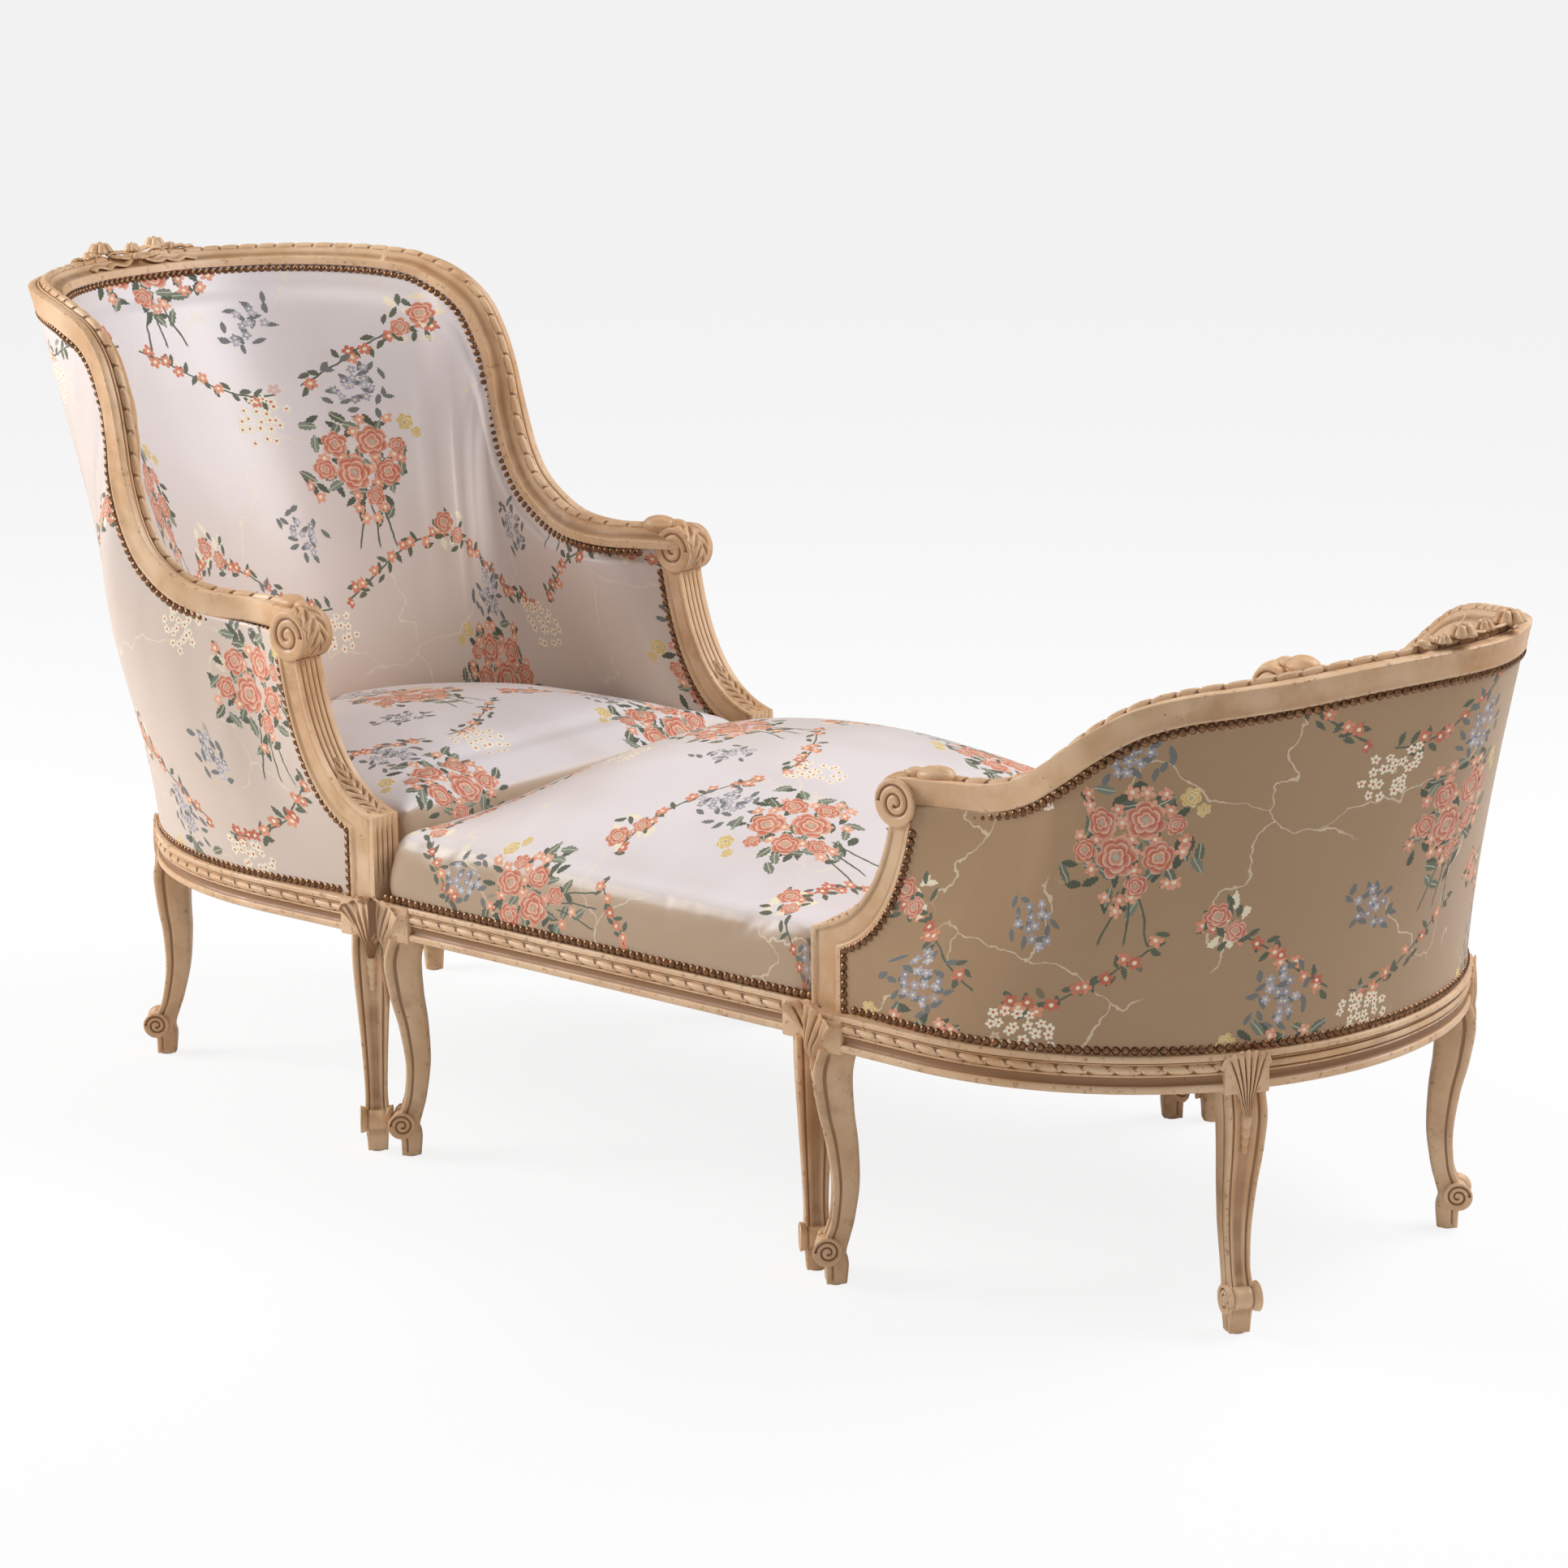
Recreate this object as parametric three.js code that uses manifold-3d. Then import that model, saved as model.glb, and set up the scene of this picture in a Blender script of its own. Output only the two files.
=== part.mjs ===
// Duchesse brisee: a bergere, a stool and a foot chair that push together into one long seat.
// Millimetres, +Z up, +X from the back of the bergere to the end of the foot chair.
// Each section is modelled in its own frame: u runs from its open front to its back, v across.

import * as THREE from 'three';
import { mergeVertices } from 'three/addons/utils/BufferGeometryUtils.js';
import Module from 'manifold-3d';

const wasm = await Module();
wasm.setup();

// Clearances
const fit = 0.3;
const softFit = 0.6;
const sectionGap = 0.6;
const overrun = 20;
const mergeTolerance = 0.0005;

// Seat rails, heights from the floor
const railTop = 325;
const railHeight = 42;
const railWidth = 36;
const railBottom = railTop - railHeight;
const ledge = railTop + fit;

// Legs
const legBlock = 52;
const legHeadLap = 4;
const legProud = 2;
const legWidth = 44;
const legSway = 12;
const footScrollRadius = 15;
const footScrollWidth = 38;
const footScrollHeight = 42;

// Show wood of the arms and crests
const showWidth = 42;
const showHeight = 30;
const ribbonRise = 3;
const voluteWidth = 50;

// Upholstery
const coverThickness = 5;
const coverInset = 6;
const coverTopInset = 2;
const padInsetAtSeat = 70;
const padInsetAtRail = 40;
const padStart = 10;
const woodGap = 3;
const seatPadInset = 72.5;
const seatPadFrontInset = 4;
const nailWidth = 9;
const nailHeight = 3.2;
const nailMargin = 2.5;
const nailSink = 2;

// Springs and webbing under the seats
const webbingThickness = 2.4;
const webbingLap = 14;
const strapWidth = 62;
const strapPitch = 150;
const strapClearance = 10;
const springWire = 4;
const springRadius = 36;
const springTurns = 2.5;
const springSpacing = 160;

// Posts that carry the crest rails, hidden between cover and back pad
const postWidth = 40;
const postDepth = 20;
const postSetback = 8;

// Facets
const legSteps = 8;
const railSteps = 6;
const seatFacets = 24;
const seatRings = 4;
const consoleFacets = 6;
const discFacets = 12;
const coilSteps = 12;

// Half width that the three sections share, and how the foot chair and the stool differ from it
const sectionHalfWidth = 388;
const footChairWider = 10;
const stoolNarrower = 16;

// Bergere: plan of the seat rail, console, arm volute and the path of the show wood
const bergere = {
  name: 'bergere',
  planCentre: 189,
  planReach: 428,
  planHalfWidth: sectionHalfWidth,
  planPower: 2.22,
  frontTaper: 4,
  consoleSetIn: 12,
  consoleWidth: 43,
  blockTop: 430,
  blockDepth: 42,
  blockDrop: 20,
  voluteRadius: 31,
  depth: 845,
  height: 1014,
  lean: 0.3,
  rearLegAngle: 0.63,
  rearLegSplay: 22,
  crestJoint: 13,
  armNailEnd: 5,
  crestNailStart: 12,
  seatEdge: 424,
  seatCrown: 470,
  carvingHalfLength: 106,
  carvingHeight: 18,
  pathShares: [
    [0.161, 0.99, 0.661], [0.237, 0.931, 0.66], [0.284, 0.91, 0.659], [0.372, 0.947, 0.663],
    [0.421, 0.968, 0.677], [0.464, 0.976, 0.702], [0.491, 0.979, 0.735], [0.518, 0.979, 0.801],
    [0.533, 0.973, 0.853], [0.55, 0.963, 0.897], [0.578, 0.949, 0.939], [0.627, 0.926, 0.972],
    [0.689, 0.904, 0.99], [0.757, 0.846, 0.997], [0.828, 0.755, 0.999], [0.899, 0.625, 0.999],
    [0.959, 0.439, 0.999], [0.992, 0.226, 1], [1, 0, 1],
  ],
};

// Foot chair: the low tub at the other end
const footChair = {
  name: 'foot_chair',
  planCentre: 160,
  planReach: 387,
  planHalfWidth: sectionHalfWidth + footChairWider,
  planPower: 2.04,
  frontTaper: 4,
  consoleSetIn: 14,
  consoleWidth: 43,
  blockTop: 418,
  blockDepth: 42,
  blockDrop: 20,
  voluteRadius: 27.5,
  depth: 643,
  height: 759,
  lean: 0.21,
  rearLegAngle: 0.62,
  rearLegSplay: 0,
  crestJoint: 7,
  armNailEnd: 6.8,
  crestNailStart: 7,
  seatEdge: 424,
  seatCrown: 466,
  carvingHalfLength: 106,
  carvingHeight: 18,
  pathShares: [
    [0.19, 0.995, 0.798], [0.295, 0.975, 0.801], [0.365, 0.965, 0.806], [0.428, 0.96, 0.823],
    [0.485, 0.955, 0.854], [0.551, 0.93, 0.896], [0.622, 0.876, 0.933], [0.691, 0.804, 0.953],
    [0.77, 0.7, 0.965], [0.843, 0.579, 0.976], [0.914, 0.412, 0.989], [0.962, 0.257, 0.996],
    [0.991, 0.11, 0.999], [1, 0, 1],
  ],
};

// Stool between the two
const stool = {
  name: 'stool',
  length: 700,
  halfWidth: sectionHalfWidth - stoolNarrower,
  padInset: 4,
  padEdge: 402,
  padCrown: 508,
};

// Materials
const paint = new THREE.MeshStandardMaterial({ color: 0xe3d0b4, roughness: 0.55, metalness: 0 });
const brocade = new THREE.MeshStandardMaterial({ color: 0xe6dccb, roughness: 0.6, metalness: 0 });
const outerBrocade = new THREE.MeshStandardMaterial({ color: 0xc9ad88, roughness: 0.6, metalness: 0 });
const brass = new THREE.MeshStandardMaterial({ color: 0x6b4a2e, roughness: 0.4, metalness: 0.8 });
const jute = new THREE.MeshStandardMaterial({ color: 0xa98c62, roughness: 0.9, metalness: 0 });
const beech = new THREE.MeshStandardMaterial({ color: 0xc59a67, roughness: 0.7, metalness: 0 });
const steel = new THREE.MeshStandardMaterial({ color: 0x8c8f92, roughness: 0.4, metalness: 0.9 });

const upward = new THREE.Vector3(0, 0, 1);
const lerp = THREE.MathUtils.lerp;
const smooth = THREE.MathUtils.smoothstep;

// A closed geometry with shared corners, no empty faces and its faces pointing out
function outward(geometry) {
  const plain = new THREE.BufferGeometry();
  plain.setAttribute('position', geometry.getAttribute('position').clone());
  if (geometry.index) plain.setIndex(geometry.index.clone());
  const merged = mergeVertices(plain, mergeTolerance);
  const place = merged.getAttribute('position');
  const corners = [];
  const [a, b, c] = [new THREE.Vector3(), new THREE.Vector3(), new THREE.Vector3()];
  let volume = 0;
  for (let i = 0; i < merged.index.count; i += 3) {
    const [p, q, r] = [0, 1, 2].map((step) => merged.index.getX(i + step));
    if (p === q || q === r || r === p) continue;
    corners.push(p, q, r);
    a.fromBufferAttribute(place, p);
    b.fromBufferAttribute(place, q);
    c.fromBufferAttribute(place, r);
    volume += a.dot(b.cross(c));
  }
  if (volume < 0) corners.reverse();
  merged.setIndex(corners);
  return merged;
}

// Moves every corner of a geometry by a rule
function reshape(geometry, move) {
  const place = geometry.getAttribute('position');
  const point = new THREE.Vector3();
  for (let i = 0; i < place.count; i += 1) {
    const moved = move(point.fromBufferAttribute(place, i));
    place.setXYZ(i, moved.x, moved.y, moved.z);
  }
  return outward(geometry);
}

// Solids for cuts and joins
function solid(geometry) {
  const closed = outward(geometry);
  const mesh = new wasm.Mesh({
    numProp: 3,
    vertProperties: closed.getAttribute('position').array,
    triVerts: new Uint32Array(closed.index.array),
  });
  mesh.merge();
  return new wasm.Manifold(mesh);
}

function fromSolid(made) {
  const mesh = made.getMesh();
  const geometry = new THREE.BufferGeometry();
  geometry.setAttribute('position', new THREE.BufferAttribute(mesh.vertProperties, 3));
  geometry.setIndex(Array.from(mesh.triVerts));
  return geometry;
}

const cut = (body, ...tools) => fromSolid(
  tools.reduce((left, tool) => left.subtract(solid(tool)), solid(body)));
const join = (...bodies) => fromSolid(bodies.map(solid).reduce((sum, body) => sum.add(body)));
const keepInside = (body, limit) => fromSolid(solid(body).intersect(solid(limit)));

// The same piece on the other side of the middle plane
const mirrored = (geometry) => outward(geometry.clone().scale(1, -1, 1));

function outline(points, width = 1, height = 1) {
  return new THREE.Shape(points.map(([across, up]) => new THREE.Vector2(across * width, up * height)));
}

const rings = (steps, ringAt) => Array.from({ length: steps + 1 }, (unused, i) => ringAt(i / steps));

// A profile laid on one ring after another; a ring has an origin and the directions out and up
function sweep(shape, ringList) {
  const steps = ringList.length - 1;
  const straight = new THREE.ExtrudeGeometry(shape, { depth: 1, steps, bevelEnabled: false });
  return reshape(straight, (p) => {
    const { origin, out, up } = ringList[Math.round(p.z * steps)];
    return origin.clone().addScaledVector(out, p.x).addScaledVector(up, p.y);
  });
}

function boxBetween(low, high) {
  const box = new THREE.BoxGeometry(high[0] - low[0], high[1] - low[1], high[2] - low[2]);
  return box.translate((low[0] + high[0]) / 2, (low[1] + high[1]) / 2, (low[2] + high[2]) / 2);
}

const disc = (radius, thickness) => new THREE.CylinderGeometry(radius, radius, thickness, discFacets);

// A tub with the sizes that follow its width, its depth and its height
function tied(tub) {
  const [armStart] = tub.pathShares;
  const [depthShare, , heightShare] = armStart;
  return {
    ...tub,
    frontHalfWidth: tub.planHalfWidth - tub.frontTaper,
    consoleOuter: tub.planHalfWidth - tub.consoleSetIn,
    voluteSetback: depthShare * tub.depth,
    voluteHeight: heightShare * tub.height - tub.voluteRadius - fit,
  };
}

// Point on the seat plan of a tub, at an angle from the middle of its back, moved in by an inset
function planPoint(tub, angle, inset = 0) {
  const side = Math.sign(angle) || 1;
  const [along, across] = [Math.cos(angle), Math.abs(Math.sin(angle))];
  const reach = tub.planReach - inset;
  const half = tub.planHalfWidth - inset;
  let radius;
  if (along >= 0) {
    const power = tub.planPower;
    radius = ((along / reach) ** power + (across / half) ** power) ** (-1 / power);
  } else {
    const slope = (tub.frontHalfWidth - tub.planHalfWidth) / tub.planCentre;
    radius = half / (across + slope * along);
  }
  return new THREE.Vector3(tub.planCentre + radius * along, side * radius * across, 0);
}

// Angle at which the plan of a tub comes to a distance behind its open front
function planAngleAt(tub, setback, inset = 0) {
  const slope = (tub.frontHalfWidth - tub.planHalfWidth) / tub.planCentre;
  const forward = tub.planCentre - setback;
  return Math.atan2(tub.planHalfWidth - inset + slope * forward, -forward);
}

function planRing(tub, angle, height) {
  const nudge = 0.001;
  const along = planPoint(tub, angle + nudge).sub(planPoint(tub, angle - nudge)).normalize();
  const out = new THREE.Vector3().crossVectors(along, upward);
  return { origin: planPoint(tub, angle).setZ(height), out, up: upward };
}

const pathAngle = (tub, point) => Math.atan2(point.y, point.x - tub.planCentre);

// Rings of the show wood along its outer top edge, from the volute on the -v side to the other one
function showRings(tub) {
  const half = tub.pathShares.map(([depth, width, height]) => (
    new THREE.Vector3(depth * tub.depth, -width * tub.consoleOuter, height * tub.height)));
  const other = half.slice(0, -1).reverse().map((p) => new THREE.Vector3(p.x, -p.y, p.z));
  const path = new THREE.CatmullRomCurve3([...half, ...other], false, 'centripetal');
  const [fullLeanAngle, noLeanAngle] = [0.3, 1.1];
  return rings(path.points.length - 1, (share) => {
    const origin = path.getPoint(share);
    const along = path.getTangent(share);
    const level = new THREE.Vector3().crossVectors(along, upward).normalize();
    const tilt = tub.lean * (1 - smooth(Math.abs(pathAngle(tub, origin)), fullLeanAngle, noLeanAngle));
    const out = level.applyAxisAngle(along, tilt);
    return { origin, out, up: new THREE.Vector3().crossVectors(out, along) };
  });
}

const ringPoint = (ring, across, up) => (
  ring.origin.clone().addScaledVector(ring.out, across).addScaledVector(ring.up, up));

// Columns of the upholstery: a ring of the show wood above and an angle of the seat plan below
function tubColumns(tub) {
  const showList = showRings(tub);
  const frontAngle = planAngleAt(tub, padStart);
  const spread = frontAngle / Math.abs(pathAngle(tub, showList[0].origin));
  return showList.map((ring) => ({ ring, angle: spread * pathAngle(tub, ring.origin) }));
}

// A column between two neighbours, on the straight line from one to the other
function columnBetween(columns, place) {
  const first = THREE.MathUtils.clamp(Math.floor(place), 0, columns.length - 2);
  const [a, b] = [columns[first], columns[first + 1]];
  const share = place - first;
  const ring = {
    origin: a.ring.origin.clone().lerp(b.ring.origin, share),
    out: a.ring.out.clone().lerp(b.ring.out, share).normalize(),
    up: a.ring.up.clone().lerp(b.ring.up, share).normalize(),
  };
  return { ring, angle: lerp(a.angle, b.angle, share) };
}

function placeOfAngle(columns, angle) {
  const after = columns.findIndex((column) => column.angle > angle);
  const [a, b] = [columns[after - 1].angle, columns[after].angle];
  return after - 1 + (angle - a) / (b - a);
}

// Rows of the upholstery, in shares of the way from the seat rail to the show wood
const rowShares = [0, 0.16, 0.42, 0.7, 1];

// Outside cover, moved in by an inset
function coverPoint(tub, column, rise, inset) {
  const low = planPoint(tub, column.angle, coverInset + inset).setZ(ledge);
  return low.lerp(ringPoint(column.ring, -coverTopInset - inset, -showHeight - woodGap), rise);
}

// Inner face of the back and arm pad: upright beside the seat, then out to the edge of the show wood
function padPoint(tub, column, rise, inset) {
  const foot = planPoint(tub, column.angle, padInsetAtSeat + inset);
  const shoulder = foot.clone().setZ(tub.seatEdge);
  const top = ringPoint(column.ring, -padInsetAtRail - inset, -showHeight - woodGap);
  const shoulderShare = rowShares[1];
  if (rise <= shoulderShare) return foot.setZ(lerp(ledge, tub.seatEdge, rise / shoulderShare));
  return shoulder.lerp(top, (rise - shoulderShare) / (1 - shoulderShare));
}

// A sheet through the columns and rows of the upholstery, between two faces
function panel(columns, nearFace, farFace) {
  const [cells, rows] = [columns.length - 1, rowShares.length - 1];
  const block = new THREE.BoxGeometry(1, 1, 1, cells, rows, 1).translate(0.5, 0.5, 0.5);
  return reshape(block, (p) => {
    const face = p.z > 0.5 ? farFace : nearFace;
    return face(columns[Math.round(p.x * cells)], rowShares[Math.round(p.y * rows)]);
  });
}

function coverSheet(tub, columns, clearance = 0) {
  return panel(columns,
    (column, rise) => coverPoint(tub, column, rise, -clearance),
    (column, rise) => coverPoint(tub, column, rise, coverThickness + clearance));
}

function padSheet(tub, columns, clearance = 0) {
  return panel(columns,
    (column, rise) => padPoint(tub, column, rise, clearance),
    (column, rise) => coverPoint(tub, column, rise, coverThickness + softFit));
}

// Edge curves of the console in its own plane, from the block up to the volute
function consoleEdges(tub) {
  const { voluteSetback, voluteHeight, voluteRadius, blockTop, blockDepth, blockDrop } = tub;
  const seat = voluteRadius + fit;
  const [frontTurn, backTurn] = [-1.92, -0.79];
  const onSeat = (turn) => new THREE.Vector2(
    voluteSetback + seat * Math.cos(turn), voluteHeight + seat * Math.sin(turn));
  const [frontBendShares, backBendShares] = [[0.79, 0.13], [0.74, 0.15]];
  const bent = (from, to, [alongShare, upShare]) => new THREE.QuadraticBezierCurve(
    from, new THREE.Vector2(lerp(from.x, to.x, alongShare), lerp(from.y, to.y, upShare)), to);
  const front = bent(new THREE.Vector2(0, blockTop), onSeat(frontTurn), frontBendShares);
  const back = bent(new THREE.Vector2(blockDepth, blockTop - blockDrop), onSeat(backTurn), backBendShares);
  return { front, back, frontTurn, backTurn, seat };
}

// Console in its own plane, moved to its side of the tub
function armSupport(tub) {
  const { front, back, frontTurn, backTurn, seat } = consoleEdges(tub);
  const shape = new THREE.Shape();
  shape.moveTo(0, ledge);
  shape.lineTo(front.v0.x, front.v0.y);
  shape.quadraticCurveTo(front.v1.x, front.v1.y, front.v2.x, front.v2.y);
  shape.absarc(tub.voluteSetback, tub.voluteHeight, seat, frontTurn, backTurn, false);
  shape.quadraticCurveTo(back.v1.x, back.v1.y, back.v0.x, back.v0.y);
  shape.lineTo(back.v0.x, ledge);
  const plate = new THREE.ExtrudeGeometry(shape, {
    depth: tub.consoleWidth, bevelEnabled: false, curveSegments: consoleFacets });
  return outward(plate.rotateX(Math.PI / 2).translate(0, tub.consoleOuter, 0));
}

// Everything in front of the rear edge of the consoles and volutes, to cut the upholstery back by
function consoleTool(tub) {
  const { back, backTurn, seat } = consoleEdges(tub);
  const halfWidth = tub.planHalfWidth + overrun;
  const shape = new THREE.Shape();
  shape.moveTo(-overrun, ledge - overrun);
  shape.lineTo(back.v0.x, ledge - overrun);
  shape.lineTo(back.v0.x, back.v0.y);
  shape.quadraticCurveTo(back.v1.x, back.v1.y, back.v2.x, back.v2.y);
  shape.absarc(tub.voluteSetback, tub.voluteHeight, seat, backTurn, Math.PI / 2, false);
  shape.lineTo(-overrun, tub.voluteHeight + seat);
  const block = new THREE.ExtrudeGeometry(shape, {
    depth: 2 * halfWidth, bevelEnabled: false, curveSegments: consoleFacets });
  return block.rotateX(Math.PI / 2).translate(softFit, halfWidth, -softFit);
}

// Line of a post from the seat rail over a rear leg up to the crest rail
function postLine(tub, columns, side) {
  const column = columnBetween(columns, placeOfAngle(columns, side * tub.rearLegAngle));
  const { origin, out } = planRing(tub, column.angle, ledge);
  const inset = coverInset + coverThickness + postSetback;
  return {
    out,
    low: origin.addScaledVector(out, -inset),
    high: ringPoint(column.ring, -coverTopInset - coverThickness - postSetback, -showHeight),
  };
}

// Post, or the slot for it: grown by a clearance, run out past its foot and its outer face
function backPost({ low, high, out }, clearance = 0, run = 0) {
  const half = postWidth / 2 + clearance;
  const inner = postDepth + clearance;
  const along = high.clone().sub(low).normalize();
  const across = new THREE.Vector3().crossVectors(upward, out);
  return sweep(outline([[-half, -inner], [half, -inner], [half, run], [-half, run]]), [
    { origin: low.clone().addScaledVector(along, -run), out: across, up: out },
    { origin: high.clone().addScaledVector(along, overrun), out: across, up: out },
  ]);
}

// Room for the show wood: all above its underside
function woodTool(columns) {
  const under = -showHeight - woodGap;
  return sweep(outline([
    [overrun, overrun], [overrun, under], [-showWidth - overrun, under], [-showWidth - overrun, overrun],
  ]), columns.map(({ ring }) => ring));
}

// Strip of domed nail heads through stations that have a centre on the surface and its normal
const nailShares = [[-0.5, 0], [0.5, 0], [0.3, 1], [-0.3, 1]];
const nudge = 0.01;

function nailStrip(stations) {
  const last = stations.length - 1;
  const shape = outline(nailShares, nailWidth, nailSink + nailHeight);
  return sweep(shape, stations.map(({ centre, up }, i) => {
    const along = stations[Math.min(i + 1, last)].centre.clone().sub(stations[Math.max(i - 1, 0)].centre);
    const origin = centre.clone().addScaledVector(up, -nailSink);
    return { origin, out: new THREE.Vector3().crossVectors(up, along).normalize(), up };
  }));
}

// Station at a place and rise on a surface
function faceStation(surfaceAt, place, rise, side) {
  const columnwise = surfaceAt(place + nudge, rise).sub(surfaceAt(place - nudge, rise));
  const risewise = surfaceAt(place, rise + nudge).sub(surfaceAt(place, rise - nudge));
  return { centre: surfaceAt(place, rise), up: columnwise.cross(risewise).normalize().multiplyScalar(side) };
}

// Station at a distance below the top edge of a surface
function edgeStation(surfaceAt, place, distance, side) {
  const [halfColumn, top] = [0.5, 1];
  const edge = surfaceAt(place + halfColumn, top).sub(surfaceAt(place - halfColumn, top)).normalize();
  const fall = surfaceAt(place, rowShares[3]).sub(surfaceAt(place, top));
  const up = fall.cross(edge).normalize().multiplyScalar(side);
  const away = edge.clone().cross(up).multiplyScalar(side);
  return { centre: surfaceAt(place, top).addScaledVector(away, distance), up };
}

// Place on a surface at a setback and a height, on the -v side
function placeOn(surfaceAt, columnCount, setback, height) {
  const halvings = 24;
  const riseFor = (place) => {
    let [low, high] = [0, 1];
    for (let i = 0; i < halvings; i += 1) {
      const middle = (low + high) / 2;
      if (surfaceAt(place, middle).z < height) low = middle;
      else high = middle;
    }
    return low;
  };
  let [near, far] = [0, (columnCount - 1) / 2];
  for (let i = 0; i < halvings; i += 1) {
    const middle = (near + far) / 2;
    if (surfaceAt(middle, riseFor(middle)).x < setback) near = middle;
    else far = middle;
  }
  return [near, riseFor(near)];
}

// Stations up the rear edge of the console on the -v side, to where the nails turn under the arm
const nailGauge = nailWidth / 2 + nailMargin + softFit;

function consoleStations(tub, columns, surfaceAt, footHeight, side) {
  const { back } = consoleEdges(tub);
  const clear = tub.voluteSetback + tub.voluteRadius + nailGauge;
  const besideEdge = rings(consoleFacets, (share) => {
    const along = back.getTangent(share);
    return back.getPoint(share).add(new THREE.Vector2(along.y, -along.x).multiplyScalar(nailGauge));
  });
  const foot = new THREE.Vector2(tub.blockDepth + nailGauge, footHeight);
  const edgePoints = footHeight < back.v0.y ? [foot, ...besideEdge] : besideEdge;
  return edgePoints.filter((p) => p.x >= foot.x && p.x < clear && p.y >= footHeight)
    .map((p) => faceStation(surfaceAt, ...placeOn(surfaceAt, columns.length, p.x, p.y), side));
}

// Stations below the show wood, from one column place to another
function edgeStations(surfaceAt, from, to, side) {
  const places = [from];
  for (let i = Math.floor(from) + 1; i < to; i += 1) places.push(i);
  return [...places, to].map((place) => edgeStation(surfaceAt, place, nailGauge, side));
}

const clearOfVolute = (tub, columns, surfaceAt) => placeOn(surfaceAt, columns.length,
  tub.voluteSetback + tub.voluteRadius + nailGauge, tub.voluteHeight)[0];

// Nails on the outside: along the seat rail, up both consoles and on under the arms
function outsideNails(tub, columns, backing) {
  const surfaceAt = (place, rise) => coverPoint(tub, columnBetween(columns, place), rise, 0);
  const last = columns.length - 1;
  const low = ledge + nailWidth / 2 + nailMargin;
  const [start] = placeOn(surfaceAt, columns.length, tub.blockDepth + nailGauge, low);
  const railPlaces = [start];
  for (let i = Math.ceil(start); i <= last - Math.ceil(start); i += 1) railPlaces.push(i);
  const railStations = [...railPlaces, last - start].map((place) => (
    faceStation(surfaceAt, place, (low - ledge) / (surfaceAt(place, 1).z - ledge), 1)));
  const side = nailStrip([
    ...consoleStations(tub, columns, surfaceAt, low, 1),
    ...edgeStations(surfaceAt, clearOfVolute(tub, columns, surfaceAt), tub.armNailEnd, 1),
  ]);
  return cut(join(side, mirrored(side), nailStrip(railStations)), backing);
}

// Nails under the crest rail, from a column place to the same place on the other side
function crestNails(tub, columns, surface, backing, side) {
  const surfaceAt = (place, rise) => surface(tub, columnBetween(columns, place), rise, 0);
  const last = columns.length - 1;
  return cut(nailStrip(edgeStations(
    surfaceAt, tub.crestNailStart, last - tub.crestNailStart, side)), backing);
}

// Profile of a seat rail, outer face at 0 across: bottom bead, cove, ribbon bead, quirk, top bead
const seatRailShares = [
  [-1, 0], [-0.04, 0], [0, 0.06], [0, 0.2], [-0.11, 0.27], [-0.12, 0.36], [-0.04, 0.42],
  [-0.04, 0.58], [-0.11, 0.66], [-0.11, 0.74], [0.02, 0.82], [0.02, 0.95], [-0.03, 1], [-1, 1],
];

function curvedSeatRail(tub, fromAngle, toAngle, blocks) {
  const shape = outline(seatRailShares, railWidth, railHeight);
  const rail = sweep(shape, rings(railSteps, (share) => (
    planRing(tub, lerp(fromAngle, toAngle, share), railBottom))));
  return cut(rail, ...blocks);
}

// Straight seat rail with its outer face on a line, moulded or plain
const plainShares = [[-1, 0], [0, 0], [0, 1], [-1, 1]];

function straightSeatRail(from, to, shares) {
  const start = new THREE.Vector3(from[0], from[1], railBottom);
  const end = new THREE.Vector3(to[0], to[1], railBottom);
  const out = new THREE.Vector3().crossVectors(end.clone().sub(start).normalize(), upward);
  return sweep(outline(shares, railWidth, railHeight), [
    { origin: start, out, up: upward }, { origin: end, out, up: upward }]);
}

// Block at the head of a leg, level with the seat rail, grown by a clearance and run out up and down
function legHead(centre, face, clearance = 0, run = 0) {
  const height = railHeight + legHeadLap + 2 * run;
  const width = legBlock + 2 * clearance;
  const box = new THREE.BoxGeometry(width, width, height);
  box.rotateZ(Math.atan2(face.y, face.x));
  return box.translate(centre.x, centre.y, railTop + run - height / 2);
}

// Cabriole leg: heights from the floor, outward offsets in sways and widths in leg widths
const legStationShares = [
  [0, 0.35, 0.5], [0.07, 0.3, 0.6], [0.13, 0.75, 0.72], [0.2, 0.2, 0.66], [0.28, -0.3, 0.64],
  [0.42, -0.6, 0.72], [0.58, -0.3, 0.84], [0.74, 0.35, 0.98], [0.88, 0.65, 1.08], [1, 0.1, 1.06],
];

// Section of a leg: a sunk panel on the outer face between two raised edges
const legSectionShares = [
  [-0.5, -0.5], [-0.5, 0.36], [-0.36, 0.48], [-0.26, 0.4], [0.26, 0.4], [0.36, 0.48], [0.5, 0.36], [0.5, -0.5],
];

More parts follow.
